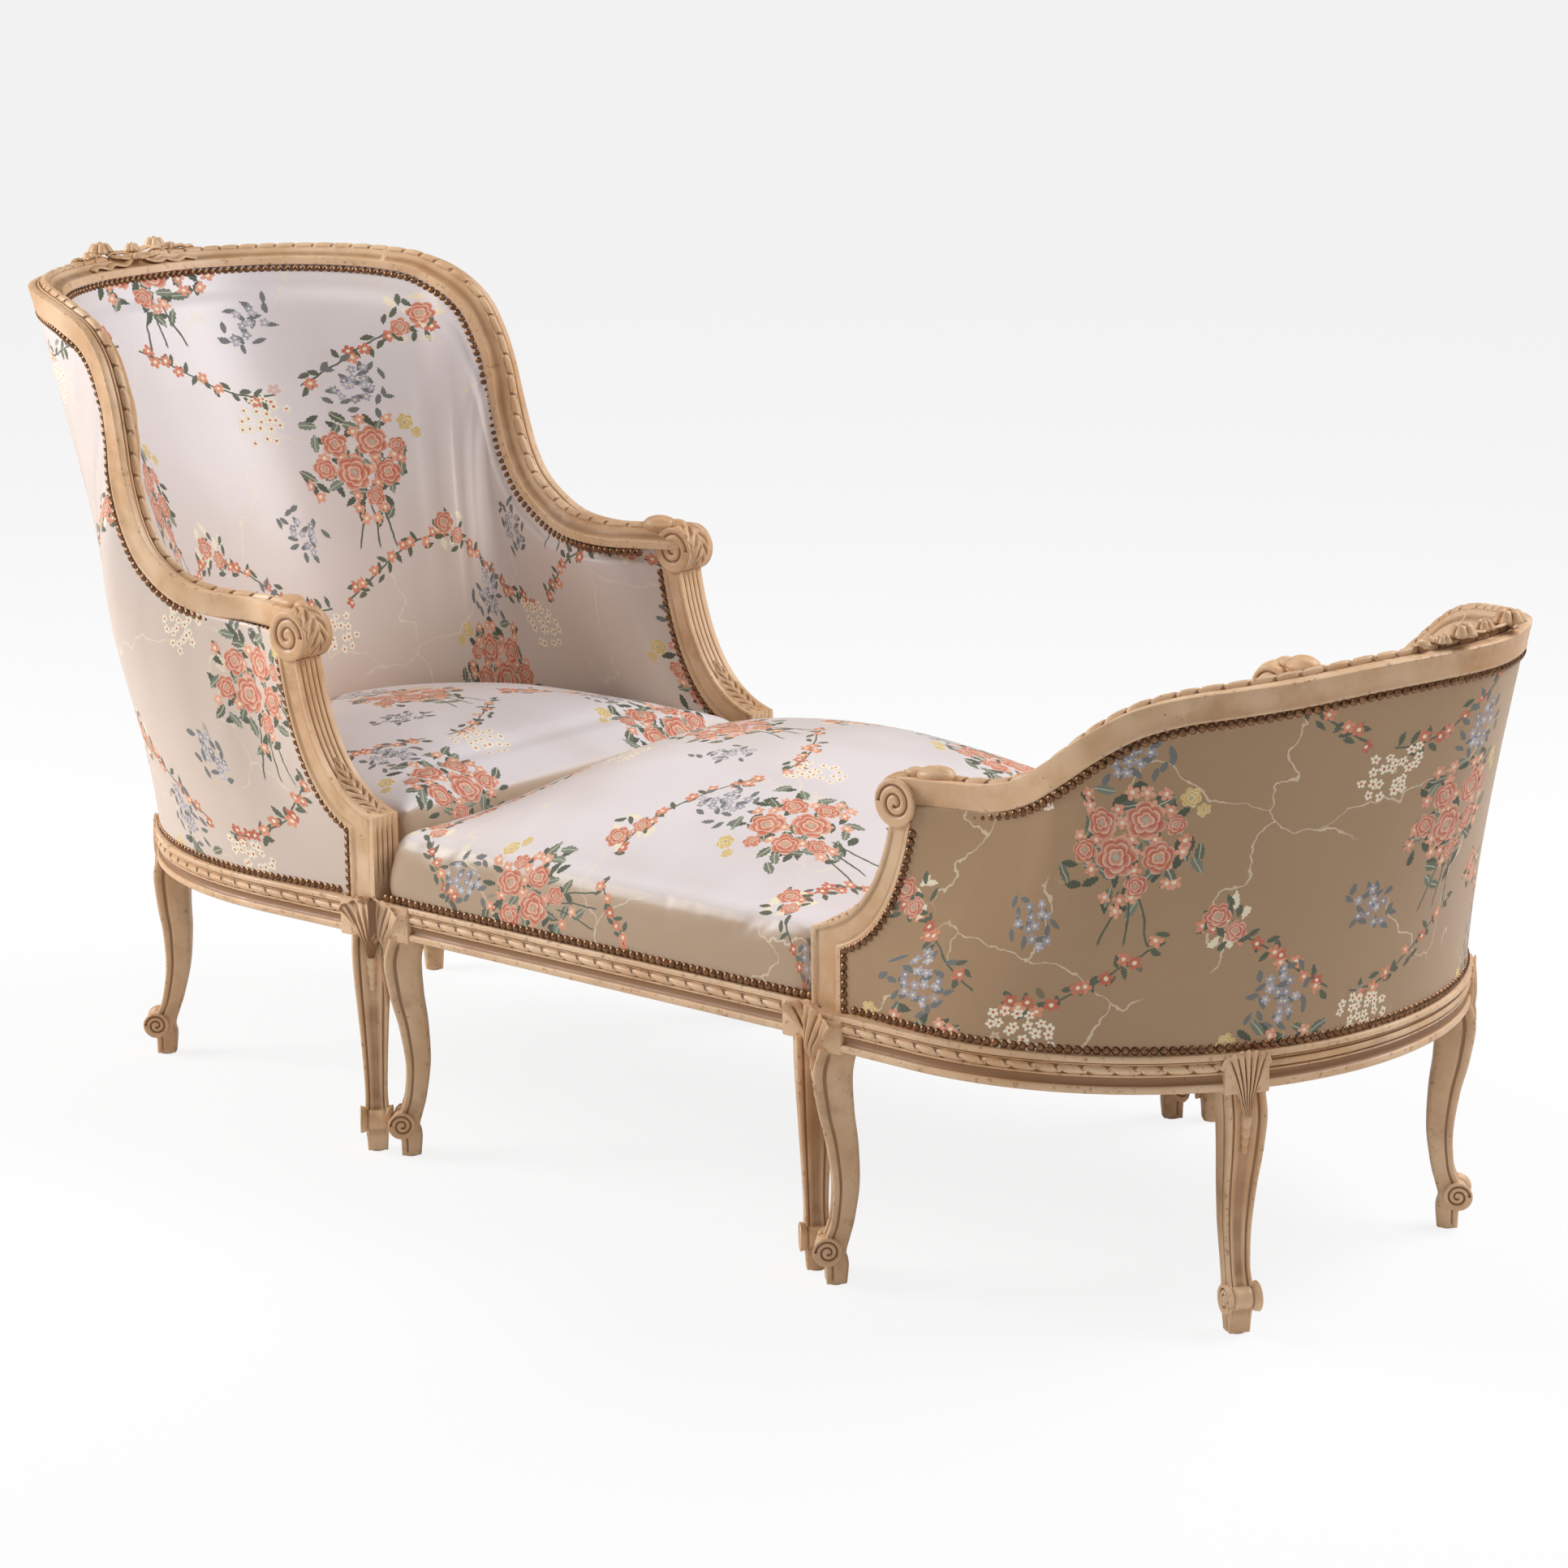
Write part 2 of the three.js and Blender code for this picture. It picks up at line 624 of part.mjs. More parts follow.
function cabrioleLeg({ centre, direction, splay, face }) {
  const knots = legStationShares.map(([rise, sway, width]) => new THREE.Vector3(rise, sway, width));
  const line = new THREE.CatmullRomCurve3(knots, false, 'centripetal');
  const along = new THREE.Vector3().crossVectors(upward, direction);
  const stalk = sweep(outline(legSectionShares, legWidth, legWidth), rings(legSteps, (share) => {
    const { x: rise, y: sway, z: width } = line.getPoint(share);
    const shift = sway * legSway + splay * (1 - smooth(rise, 0, 1));
    return {
      origin: centre.clone().addScaledVector(direction, shift).setZ(rise * (railBottom - fit)),
      out: along.clone().multiplyScalar(width),
      up: direction.clone().multiplyScalar(width),
    };
  }));
  const scroll = disc(footScrollRadius, footScrollWidth).rotateZ(Math.atan2(direction.y, direction.x));
  const scrollCentre = centre.clone().addScaledVector(direction, splay + legSway);
  scroll.translate(scrollCentre.x, scrollCentre.y, footScrollHeight);
  return join(stalk, scroll, legHead(centre, face));
}

// Profile of the show wood across and up, its outer top edge at 0, 0
const bevelShares = [[0.8, 0.3], [0.74, 0], [0.55, 0], [0.3, 0]];
const showProfile = [
  [0, 0], [0, -showHeight], [-showWidth, -showHeight], [-showWidth, -2 * bevelShares[0][1] * showHeight],
  [-bevelShares[0][0] * showWidth, -bevelShares[0][1] * showHeight], [-bevelShares[1][0] * showWidth, 0],
  [-bevelShares[2][0] * showWidth, ribbonRise], [-bevelShares[3][0] * showWidth, 0],
];

// A ring drawn back along its path by half a joint gap
function drawnBack(ring, sense) {
  const along = new THREE.Vector3().crossVectors(ring.up, ring.out);
  return { ...ring, origin: ring.origin.clone().addScaledVector(along, sense * fit / 2) };
}

// Arm on the -v side: volute and rail up to the joint with the crest
function armRail(tub, columns) {
  const list = columns.slice(0, tub.crestJoint + 1).map(({ ring }) => ring);
  list[tub.crestJoint] = drawnBack(list[tub.crestJoint], -1);
  const volute = disc(tub.voluteRadius, voluteWidth).translate(
    tub.voluteSetback, tub.consoleWidth / 2 - tub.consoleOuter, tub.voluteHeight);
  return join(sweep(outline(showProfile), list), volute);
}

// Carved bow and flowers on the middle of a crest: heights and widths in shares along them
const reliefShares = [0.1, 0.75, 0.35, 0.55, 1, 0.55, 0.35, 0.75, 0.1];
const spreadShares = [0.25, 0.8, 0.5, 0.75, 1, 0.75, 0.5, 0.8, 0.25];

function crestCarving(tub, columns) {
  const middle = (columns.length - 1) / 2;
  const stride = columns[middle].ring.origin.distanceTo(columns[middle + 1].ring.origin);
  const reach = tub.carvingHalfLength / stride;
  const half = reliefShares.length - 1;
  const section = outline([[-0.5, 0], [0.5, 0], [0.32, 0.8], [0, 1], [-0.32, 0.8]], showWidth / 2, 1);
  return sweep(section, reliefShares.map((relief, i) => {
    const { ring } = columnBetween(columns, lerp(middle - reach, middle + reach, i / half));
    return {
      origin: ringPoint(ring, -showWidth / 2, -ribbonRise),
      out: ring.out.multiplyScalar(spreadShares[i]),
      up: ring.up.multiplyScalar(2 * ribbonRise + tub.carvingHeight * relief),
    };
  }));
}

function crestRail(tub, columns) {
  const last = columns.length - 1;
  const list = columns.slice(tub.crestJoint, last - tub.crestJoint + 1).map(({ ring }) => ring);
  list[0] = drawnBack(list[0], 1);
  list[list.length - 1] = drawnBack(list[list.length - 1], -1);
  return join(sweep(outline(showProfile), list), crestCarving(tub, columns));
}

// Domed pad on an outline given by angle: a skirt down to the webbing, hollow beneath for the springs
const skirtShare = 0.78;
const hollowShare = 0.7;
const ceilingShare = 0.55;
const sideShares = [[1, 0], [1, 0.25], [0.99, 0.8]];
const domeShare = 0.96;
const domePower = 2.4;
const ceilingOf = (edgeHeight) => lerp(ledge, edgeHeight, ceilingShare);

function seatPad(edgeAt, centre, edgeHeight, crownHeight) {
  const ceiling = ceilingOf(edgeHeight);
  const points = [[0, ceiling], [hollowShare, ceiling], [hollowShare, railBottom],
    [skirtShare, railBottom], [skirtShare, ledge],
    ...sideShares.map(([reach, rise]) => [reach, lerp(ledge, edgeHeight, rise)])];
  for (let ring = 0; ring <= seatRings; ring += 1) {
    const reach = domeShare * (1 - ring / seatRings);
    points.push([reach, lerp(edgeHeight, crownHeight, 1 - reach ** domePower)]);
  }
  const profile = points.map(([reach, height]) => new THREE.Vector2(reach, height));
  const dome = new THREE.LatheGeometry(profile, seatFacets).rotateX(Math.PI / 2);
  return reshape(dome, (p) => {
    const edge = edgeAt(Math.atan2(p.y, p.x));
    const radius = Math.hypot(p.x, p.y);
    return new THREE.Vector3(lerp(centre, edge.x, radius), radius * edge.y, p.z);
  });
}

// Turns equal steps of angle into steps with a corner on one of them
function cornered(angle, cornerStep, cornerAngle, lastAngle) {
  const turn = Math.abs(angle);
  const turned = turn < cornerStep
    ? (turn / cornerStep) * cornerAngle
    : lerp(cornerAngle, lastAngle, (turn - cornerStep) / (lastAngle - cornerStep));
  return (Math.sign(angle) || 1) * turned;
}

function tubSeatPad(tub) {
  const cornerStep = (2 * Math.PI) / 3;
  const cornerAngle = planAngleAt(tub, seatPadFrontInset, seatPadInset);
  return seatPad((angle) => {
    const turned = cornered(angle, cornerStep, cornerAngle, Math.PI);
    if (Math.abs(turned) <= cornerAngle) return planPoint(tub, turned, seatPadInset);
    const forward = tub.planCentre - seatPadFrontInset;
    return { x: seatPadFrontInset, y: -forward * Math.tan(turned) };
  }, tub.planCentre, tub.seatEdge, tub.seatCrown);
}

function stoolSeatPad() {
  const half = stool.length / 2 - stool.padInset;
  const halfWidth = stool.halfWidth - stool.padInset;
  const cornerStep = Math.PI / 4;
  const power = 12;
  return seatPad((angle) => {
    const turned = Math.atan2(Math.abs(Math.sin(angle)), Math.abs(Math.cos(angle)));
    const turn = cornered(turned, cornerStep, Math.atan2(halfWidth, half), Math.PI / 2);
    const [along, across] = [Math.cos(turn), Math.sin(turn)];
    const radius = ((along / half) ** power + (across / halfWidth) ** power) ** (-1 / power);
    return {
      x: stool.length / 2 + Math.sign(Math.cos(angle)) * radius * along,
      y: Math.sign(Math.sin(angle)) * radius * across,
    };
  }, stool.length / 2, stool.padEdge, stool.padCrown);
}

// Straps tacked under the seat rails both ways, trimmed to the frame and round the legs
function webbing(frame, centre, length, width, legHoles) {
  const [low, high] = [railBottom - fit - webbingThickness, railBottom - fit];
  const half = strapWidth / 2;
  const alongCount = Math.floor(length / 2 / strapPitch);
  const acrossCount = Math.floor(width / 2 / strapPitch);
  const straps = [];
  for (let i = -alongCount; i <= alongCount; i += 1) {
    const x = centre + i * strapPitch;
    straps.push(boxBetween([x - half, -width / 2, low], [x + half, width / 2, high]));
  }
  for (let j = -acrossCount; j <= acrossCount; j += 1) {
    const y = j * strapPitch;
    straps.push(boxBetween([centre - length / 2, y - half, low], [centre + length / 2, y + half, high]));
  }
  const prism = new THREE.ExtrudeGeometry(frame, { depth: 2 * overrun, bevelEnabled: false });
  prism.translate(0, 0, railBottom - overrun);
  return cut(keepInside(join(...straps), prism), ...legHoles);
}

// Outline of a tub inside the outer face of its rails
function tubFrame(tub, inset) {
  const frontAngle = planAngleAt(tub, inset, inset);
  return new THREE.Shape(rings(2 * railSteps, (share) => {
    const point = planPoint(tub, lerp(-frontAngle, frontAngle, share), inset);
    return new THREE.Vector2(point.x, point.y);
  }));
}

// Coil springs on the webbing, tied at the top by wires both ways
const waistShare = 0.28;

function springCoil(x, y, foot, height) {
  const points = rings(coilSteps, (share) => {
    const radius = springRadius * (1 - waistShare * Math.sin(Math.PI * share));
    const turn = share * springTurns * 2 * Math.PI;
    return new THREE.Vector3(
      x + radius * Math.cos(turn), y + radius * Math.sin(turn), foot + share * height);
  });
  const half = springWire / 2;
  const wire = outline([[-half, -half], [half, -half], [half, half], [-half, half]]);
  return new THREE.ExtrudeGeometry(wire, {
    steps: coilSteps, extrudePath: new THREE.CatmullRomCurve3(points), bevelEnabled: false });
}

function springSet(centre, ceiling) {
  const half = springWire / 2;
  const foot = railBottom + half;
  const top = ceiling - half - softFit;
  const reach = springSpacing / 2 + springRadius;
  const bodies = [];
  [-1, 1].forEach((i) => {
    const offset = (i * springSpacing) / 2;
    const [x, y] = [centre + offset, offset];
    bodies.push(boxBetween([x - half, -reach, top - half], [x + half, reach, top + half]));
    bodies.push(boxBetween([centre - reach, y - half, top - half], [centre + reach, y + half, top + half]));
    [-1, 1].forEach((j) => bodies.push(springCoil(x, (j * springSpacing) / 2, foot, top - foot - softFit)));
  });
  return join(...bodies);
}

function named(name, geometry, material) {
  const mesh = new THREE.Mesh(geometry, material.clone());
  mesh.name = name;
  return mesh;
}

// Where the legs of a section stand, which way they bend and which way their blocks face
const diagonal = Math.SQRT1_2;

function cornerLeg(x, y, end, side, place) {
  return {
    place, side, splay: 0,
    centre: new THREE.Vector3(x, side * y, 0),
    direction: new THREE.Vector3(end * diagonal, side * diagonal, 0),
    face: new THREE.Vector3(1, 0, 0),
  };
}

function tubLegs(tub) {
  const frontAcross = tub.frontHalfWidth + legProud - legBlock / 2;
  return [-1, 1].flatMap((side) => {
    const ring = planRing(tub, side * tub.rearLegAngle, 0);
    const centre = ring.origin.addScaledVector(ring.out, legProud - legBlock / 2);
    const rear = {
      place: 'rear', side, splay: tub.rearLegSplay, centre, direction: ring.out, face: ring.out,
    };
    return [cornerLeg(legBlock / 2, frontAcross, -1, side, 'front'), rear];
  });
}

function buildTub(sizes) {
  const tub = tied(sizes);
  const columns = tubColumns(tub);
  const group = new THREE.Group();
  const add = (name, geometry, material) => group.add(named(`${tub.name}_${name}`, geometry, material));
  const legs = tubLegs(tub);
  const heads = legs.map(({ centre, face }) => legHead(centre, face, fit, overrun));
  const holes = legs.map(({ centre, face }) => legHead(centre, face, strapClearance, overrun));
  const beyond = tub.frontHalfWidth + legBlock;
  const joinTool = boxBetween([-2 * legBlock, -beyond, -overrun], [0, beyond, railTop + overrun]);
  legs.forEach((leg) => {
    const made = cabrioleLeg(leg);
    const sideWord = leg.side < 0 ? 'left' : 'right';
    add(`${leg.place}_${sideWord}_leg`, leg.place === 'front' ? cut(made, joinTool) : made, paint);
  });

  const railEnd = tub.frontHalfWidth + legProud - legBlock - fit;
  add('front_seat_rail', straightSeatRail([0, railEnd], [0, -railEnd], plainShares), paint);
  const sideRail = curvedSeatRail(tub, tub.rearLegAngle, planAngleAt(tub, legBlock / 2), heads);
  add('left_seat_rail', mirrored(sideRail), paint);
  add('right_seat_rail', sideRail, paint);
  add('back_seat_rail', curvedSeatRail(tub, -tub.rearLegAngle, tub.rearLegAngle, heads), paint);

  const support = armSupport(tub);
  const arm = armRail(tub, columns);
  add('left_arm_support', mirrored(support), paint);
  add('right_arm_support', support, paint);
  add('left_arm', arm, paint);
  add('right_arm', mirrored(arm), paint);
  add('crest_rail', crestRail(tub, columns), paint);

  const posts = [-1, 1].map((side) => postLine(tub, columns, side));
  const front = consoleTool(tub);
  const above = woodTool(columns);
  add('left_back_post', cut(backPost(posts[0]), above), beech);
  add('right_back_post', cut(backPost(posts[1]), above), beech);
  const slots = posts.map((line) => backPost(line, softFit, overrun));
  add('outside_cover', cut(coverSheet(tub, columns), front), outerBrocade);
  add('inside_back', cut(padSheet(tub, columns), front, ...slots), brocade);
  add('seat_pad', tubSeatPad(tub), brocade);

  const seatDepth = tub.planCentre + tub.planReach;
  const frame = tubFrame(tub, railWidth - webbingLap);
  add('webbing', webbing(frame, seatDepth / 2, seatDepth, 2 * tub.planHalfWidth, holes), jute);
  const padReach = tub.planReach - seatPadInset;
  const padFront = tub.planCentre - seatPadFrontInset;
  const springCentre = tub.planCentre + (hollowShare * (padReach - padFront)) / 2;
  add('springs', springSet(springCentre, ceilingOf(tub.seatEdge)), steel);
  const outer = coverSheet(tub, columns, fit);
  const inner = padSheet(tub, columns, fit);
  add('outside_nails', outsideNails(tub, columns, outer), brass);
  add('crest_nails', crestNails(tub, columns, coverPoint, outer, 1), brass);
  add('inside_nails', crestNails(tub, columns, padPoint, inner, -1), brass);
  return group;
}

function buildStool() {
  const group = new THREE.Group();
  const add = (name, geometry, material) => group.add(named(`${stool.name}_${name}`, geometry, material));
  const { length, halfWidth } = stool;
  const across = halfWidth + legProud - legBlock / 2;
  const legs = [-1, 1].flatMap((side) => [
    cornerLeg(legBlock / 2, across, -1, side, 'front'),
    cornerLeg(length - legBlock / 2, across, 1, side, 'rear')]);
  const holes = legs.map(({ centre, face }) => legHead(centre, face, strapClearance, overrun));
  const beyond = halfWidth + legBlock;
  const joinTools = [[-2 * legBlock, 0], [length, length + 2 * legBlock]].map(([low, high]) => (
    boxBetween([low, -beyond, -overrun], [high, beyond, railTop + overrun])));
  legs.forEach((leg) => {
    const sideWord = leg.side < 0 ? 'right' : 'left';
    add(`${leg.place}_${sideWord}_leg`, cut(cabrioleLeg(leg), ...joinTools), paint);
  });

  const sideEnd = legBlock + fit;
  const sideRail = straightSeatRail([length - sideEnd, halfWidth], [sideEnd, halfWidth], seatRailShares);
  add('left_seat_rail', sideRail, paint);
  add('right_seat_rail', mirrored(sideRail), paint);
  const railEnd = halfWidth + legProud - legBlock - fit;
  add('front_seat_rail', straightSeatRail([0, railEnd], [0, -railEnd], plainShares), paint);
  add('rear_seat_rail', straightSeatRail([length, -railEnd], [length, railEnd], plainShares), paint);

  add('seat_pad', stoolSeatPad(), brocade);
  const inset = railWidth - webbingLap;
  const corners = [[inset, inset - halfWidth], [length - inset, inset - halfWidth],
    [length - inset, halfWidth - inset], [inset, halfWidth - inset]];
  add('webbing', webbing(outline(corners), length / 2, length, 2 * halfWidth, holes), jute);
  add('springs', springSet(length / 2, ceilingOf(stool.padEdge)), steel);

  const outFace = halfWidth - stool.padInset + fit;
  const nailRing = (x) => ({
    origin: new THREE.Vector3(x, outFace, ledge + nailWidth / 2 + nailMargin),
    out: upward,
    up: new THREE.Vector3(0, 1, 0),
  });
  const shape = outline(nailShares, nailWidth, nailHeight);
  const nails = sweep(shape, [nailRing(sideEnd), nailRing(length - sideEnd)]);
  add('left_nails', nails, brass);
  add('right_nails', mirrored(nails), brass);
  return group;
}

// The three sections pushed together, the whole centred over the origin
const footStart = 2 * sectionGap + stool.length;
const middle = (footStart + footChair.depth - bergere.depth) / 2;

const bergereGroup = buildTub(bergere);
bergereGroup.rotation.z = Math.PI;
bergereGroup.position.x = -middle;
const stoolGroup = buildStool();
stoolGroup.position.x = sectionGap - middle;
const footGroup = buildTub(footChair);
footGroup.position.x = footStart - middle;

const duchesse = new THREE.Group();
duchesse.add(bergereGroup, stoolGroup, footGroup);

export default duchesse;
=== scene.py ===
"""Duchesse brisee: a high tub chair, a stool and a low tub foot chair pushed into one long seat.

The carved and painted wood, the brocade upholstery and the rows of nails are built around the
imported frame. Metres, +Z up, +X from the back of the high chair to the back of the foot chair.
Each tub is worked out in its own frame: u from its open front to its back, v across, z up.
"""
import math

import bpy
import numpy as np
from mathutils import Matrix, Vector


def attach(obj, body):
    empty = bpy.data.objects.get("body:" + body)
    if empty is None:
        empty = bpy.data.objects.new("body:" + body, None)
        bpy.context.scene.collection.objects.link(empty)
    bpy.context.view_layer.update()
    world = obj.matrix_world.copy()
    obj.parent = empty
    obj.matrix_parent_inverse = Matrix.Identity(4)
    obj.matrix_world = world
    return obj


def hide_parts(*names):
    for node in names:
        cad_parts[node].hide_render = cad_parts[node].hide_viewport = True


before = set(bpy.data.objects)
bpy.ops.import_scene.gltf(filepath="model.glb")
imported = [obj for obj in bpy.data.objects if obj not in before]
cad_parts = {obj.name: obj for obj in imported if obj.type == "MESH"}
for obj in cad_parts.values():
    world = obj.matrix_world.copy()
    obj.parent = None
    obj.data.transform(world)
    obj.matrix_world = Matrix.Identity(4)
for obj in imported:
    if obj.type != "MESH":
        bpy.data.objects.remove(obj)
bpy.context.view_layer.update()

bl_info = {
    "name": "Duchesse Brisee",
    "version": (1, 0, 0),
    "blender": (4, 5, 0),
    "location": "View3D > Sidebar > Duchesse",
    "description": "Carved wood, brocade and nails of a duchesse brisee around its frame",
    "category": "Object",
}

UP = np.array([0.0, 0.0, 1.0])

# Sizes of the frame, in metres
RAIL_TOP = 0.325
RAIL_HEIGHT = 0.042
LEDGE = RAIL_TOP + 0.0003
BLOCK = 0.052
LEG_PROUD = 0.002
LEG_WIDTH = 0.044
LEG_SWAY = 0.012
SHOW_WIDTH = 0.042
SHOW_HEIGHT = 0.030
CONSOLE_WIDTH = 0.043
VOLUTE_WIDTH = 0.050
COVER_INSET = 0.006
PAD_INSET_SEAT = 0.070
SEAT_INSET = 0.0725
SEAT_SETBACK = 0.0045
SEAT_BOTTOM = LEDGE + 0.0005

# Sizes of the carving, in metres
LEAF_THICKNESS = 0.0022
RIBBON_THICKNESS = 0.0028
FLOWER_THICKNESS = 0.003
ARM_LEAF_RELIEF = 0.0062
ARM_BUD = (0.046, 0.030, 0.0115)
ARM_BUD_TIP = (0.026, 0.016, 0.008)
PANEL_DEPTH = 0.0018
PANEL_LINE = 0.0004
FLUTE_DEPTH = 0.0026
FLUTED_SHARE = 0.875
CONSOLE_LEAF_RELIEF = 0.0085
BLOCK_DROP = 0.004
BLOCK_RISE = 0.00015
BLOCK_EDGE = 0.002
CUT_STEP = 0.00004
FOOT_HEIGHT = 0.0425
FOOT_RADIUS = 0.0172
FOOT_WIDTH = 0.0415
GLIDE_RADIUS = 0.0095
GLIDE_HEIGHT = 0.004
SHELL_FOOT = 0.254
SHELL_HEIGHT = 0.070
SHELL_THICKNESS = 0.012
SHELL_RIBS = 7

# Sizes of the upholstery and its nails, in metres, and of the cloth run
COVER_THICKNESS = 0.0035
PADDING_THICKNESS = 0.010
PATTERN_LIFT = 0.11
DOME_ROWS = 60
CLOTH_MESH = 0.007
CLOTH_PRESSURE = 3.5
CLOTH_LIMIT = 0.006
CLOTH_FRAMES = 16
NAIL_GAUGE = 0.0056
BOTTOM_NAIL_GAUGE = 0.0086
PAINTED = "painted_wood"

TUBS = {
    "bergere": dict(
        body="bergere", start=-0.2496, turn=-1, centre=0.189, reach=0.428, half=0.388, front_half=0.384,
        power=2.22, console=0.376, block_top=0.430, block_depth=0.042, block_drop=0.020,
        volute=(0.1360, 0.6390, 0.031), depth=0.845, height=1.014, lean=0.30, leg_angle=0.63,
        splay=0.022, joint=13, edge=0.424, crown=0.470, belly=0.010,
        path=[(0.161, 0.99, 0.661), (0.237, 0.931, 0.66), (0.284, 0.91, 0.659), (0.372, 0.947, 0.663),
              (0.421, 0.968, 0.677), (0.464, 0.976, 0.702), (0.491, 0.979, 0.735), (0.518, 0.979, 0.801),
              (0.533, 0.973, 0.853), (0.55, 0.963, 0.897), (0.578, 0.949, 0.939), (0.627, 0.926, 0.972),
              (0.689, 0.904, 0.99), (0.757, 0.846, 0.997), (0.828, 0.755, 0.999), (0.899, 0.625, 0.999),
              (0.959, 0.439, 0.999), (0.992, 0.226, 1), (1, 0, 1)]),
    "foot_chair": dict(
        body="foot_chair", start=0.4516, turn=1, centre=0.160, reach=0.387, half=0.398, front_half=0.394,
        power=2.04, console=0.384, block_top=0.418, block_depth=0.042, block_drop=0.020,
        volute=(0.1222, 0.5779, 0.0275), depth=0.643, height=0.759, lean=0.21, leg_angle=0.62,
        splay=0.0, joint=7, edge=0.424, crown=0.466, belly=0.0,
        path=[(0.19, 0.995, 0.798), (0.295, 0.975, 0.801), (0.365, 0.965, 0.806), (0.428, 0.96, 0.823),
              (0.485, 0.955, 0.854), (0.551, 0.93, 0.896), (0.622, 0.876, 0.933), (0.691, 0.804, 0.953),
              (0.77, 0.7, 0.965), (0.843, 0.579, 0.976), (0.914, 0.412, 0.989), (0.962, 0.257, 0.996),
              (0.991, 0.11, 0.999), (1, 0, 1)]),
}
STOOL = dict(body="stool", start=-0.2490, length=0.700, half=0.372, edge=0.402, crown=0.508, inset=0.004)


# Settings in the sidebar

class DuchesseSizes(bpy.types.PropertyGroup):
    ribbon_pitch: bpy.props.FloatProperty(
        name="Ribbon pitch", description="Length of one turn of the carved ribbon", default=0.0285,
        min=0.01, max=0.06, unit="LENGTH")
    ribbon_notch: bpy.props.FloatProperty(
        name="Ribbon notch", description="Depth of the cut between two turns of the ribbon",
        default=0.0034, min=0.0, max=0.006, unit="LENGTH")
    nail_pitch: bpy.props.FloatProperty(
        name="Nail pitch", description="Distance from one nail to the next", default=0.0103,
        min=0.006, max=0.02, unit="LENGTH")
    nail_radius: bpy.props.FloatProperty(
        name="Nail radius", description="Radius of a nail's domed head", default=0.0054,
        min=0.002, max=0.01, unit="LENGTH")
    padding: bpy.props.FloatProperty(
        name="Padding", description="How far the inside of the back swells between its edges",
        default=0.012, min=0.0, max=0.04, unit="LENGTH")
    cover_swell: bpy.props.FloatProperty(
        name="Cover swell", description="How far the outside covers swell between their edges",
        default=0.004, min=0.0, max=0.02, unit="LENGTH")


def colour_property(name, description, rgb):
    return bpy.props.FloatVectorProperty(
        name=name, description=description, default=rgb, size=3, min=0.0, max=1.0, subtype="COLOR")


class DuchesseColours(bpy.types.PropertyGroup):
    paint: colour_property("Paint", "Cream paint on the carved wood", (0.60, 0.345, 0.168))
    paint_light: colour_property("Paint, light", "Pinkish cream where light wear shows", (0.77, 0.54, 0.34))
    antiquing: colour_property("Antiquing", "Brown glaze left in the recesses", (0.28, 0.135, 0.052))
    satin: colour_property("Satin", "Ground of the ivory brocade", (0.80, 0.74, 0.745))
    # Painted shade: this ground is the ivory satin darkened for the shaded outside of the foot chair
    shaded_beige: colour_property("Beige satin", "Ground of the brocade outside the foot chair", (0.50, 0.31, 0.155))
    rose: colour_property("Rose", "Coral red of the petals", (0.55, 0.135, 0.075))
    leaf: colour_property("Leaf", "Grey green of the leaves", (0.115, 0.13, 0.085))
    blue: colour_property("Blue", "Greyish mauve of the small sprays", (0.29, 0.28, 0.34))
    cream: colour_property("Cream", "Cream of the petals' edges and the wavy lines", (0.86, 0.76, 0.56))
    nail: colour_property("Nail", "Antique brass of the nails", (0.17, 0.085, 0.042))


# Colours that belong to one finish only
DARK_SPECK = (0.06, 0.035, 0.02)
BRIGHT_BRASS, BRASS_DIRT = (0.34, 0.18, 0.09), (0.10, 0.05, 0.03)
BEECH, BEECH_FLECK = ((0.50, 0.30, 0.15), (0.62, 0.42, 0.24)), (0.34, 0.18, 0.08)
# The jute's dark gap tone is painted shade between its threads
JUTE, JUTE_GAP_SHADE = ((0.36, 0.26, 0.14), (0.50, 0.38, 0.23)), (0.16, 0.10, 0.05)
STEEL, RUST = (0.30, 0.30, 0.31), (0.20, 0.09, 0.04)
PALE_CORAL, BRIGHT_CORAL, PALE_PETAL = (0.80, 0.34, 0.20), (0.82, 0.40, 0.26), (0.86, 0.60, 0.44)
DEEP_YELLOW, PALE_YELLOW, YELLOW_EYE = (0.62, 0.42, 0.14), (0.90, 0.78, 0.46), (0.80, 0.72, 0.45)
PALE_LEAF, DARK_LEAF, LEAF_VEIN = (0.22, 0.25, 0.19), (0.05, 0.06, 0.04), (0.50, 0.50, 0.36)
PALE_MAUVE, WHITE_THREAD, DARK_THREAD = (0.52, 0.50, 0.58), (1.0, 0.95, 0.8), (0.45, 0.38, 0.30)
# Gold of each satin: a random tone and the sheen's tint, and also painted shade low down on the covers and on
# the sides of the seats
BACK_GOLD_AND_SHADE, SEAT_GOLD_AND_SHADE, OUTSIDE_GOLD_AND_SHADE = (0.60, 0.44, 0.30), (0.43, 0.285, 0.16), (0.34, 0.21, 0.11)
JUTE_PITCH = 0.004
WEAVE_PITCH = 0.0016


# Shapes worked out from the frame

def unit(a):
    return a / np.maximum(np.linalg.norm(a, axis=-1, keepdims=True), 1e-12)


def smooth(x, low, high):
    t = np.clip((x - low) / (high - low), 0.0, 1.0)
    return t * t * (3 - 2 * t)


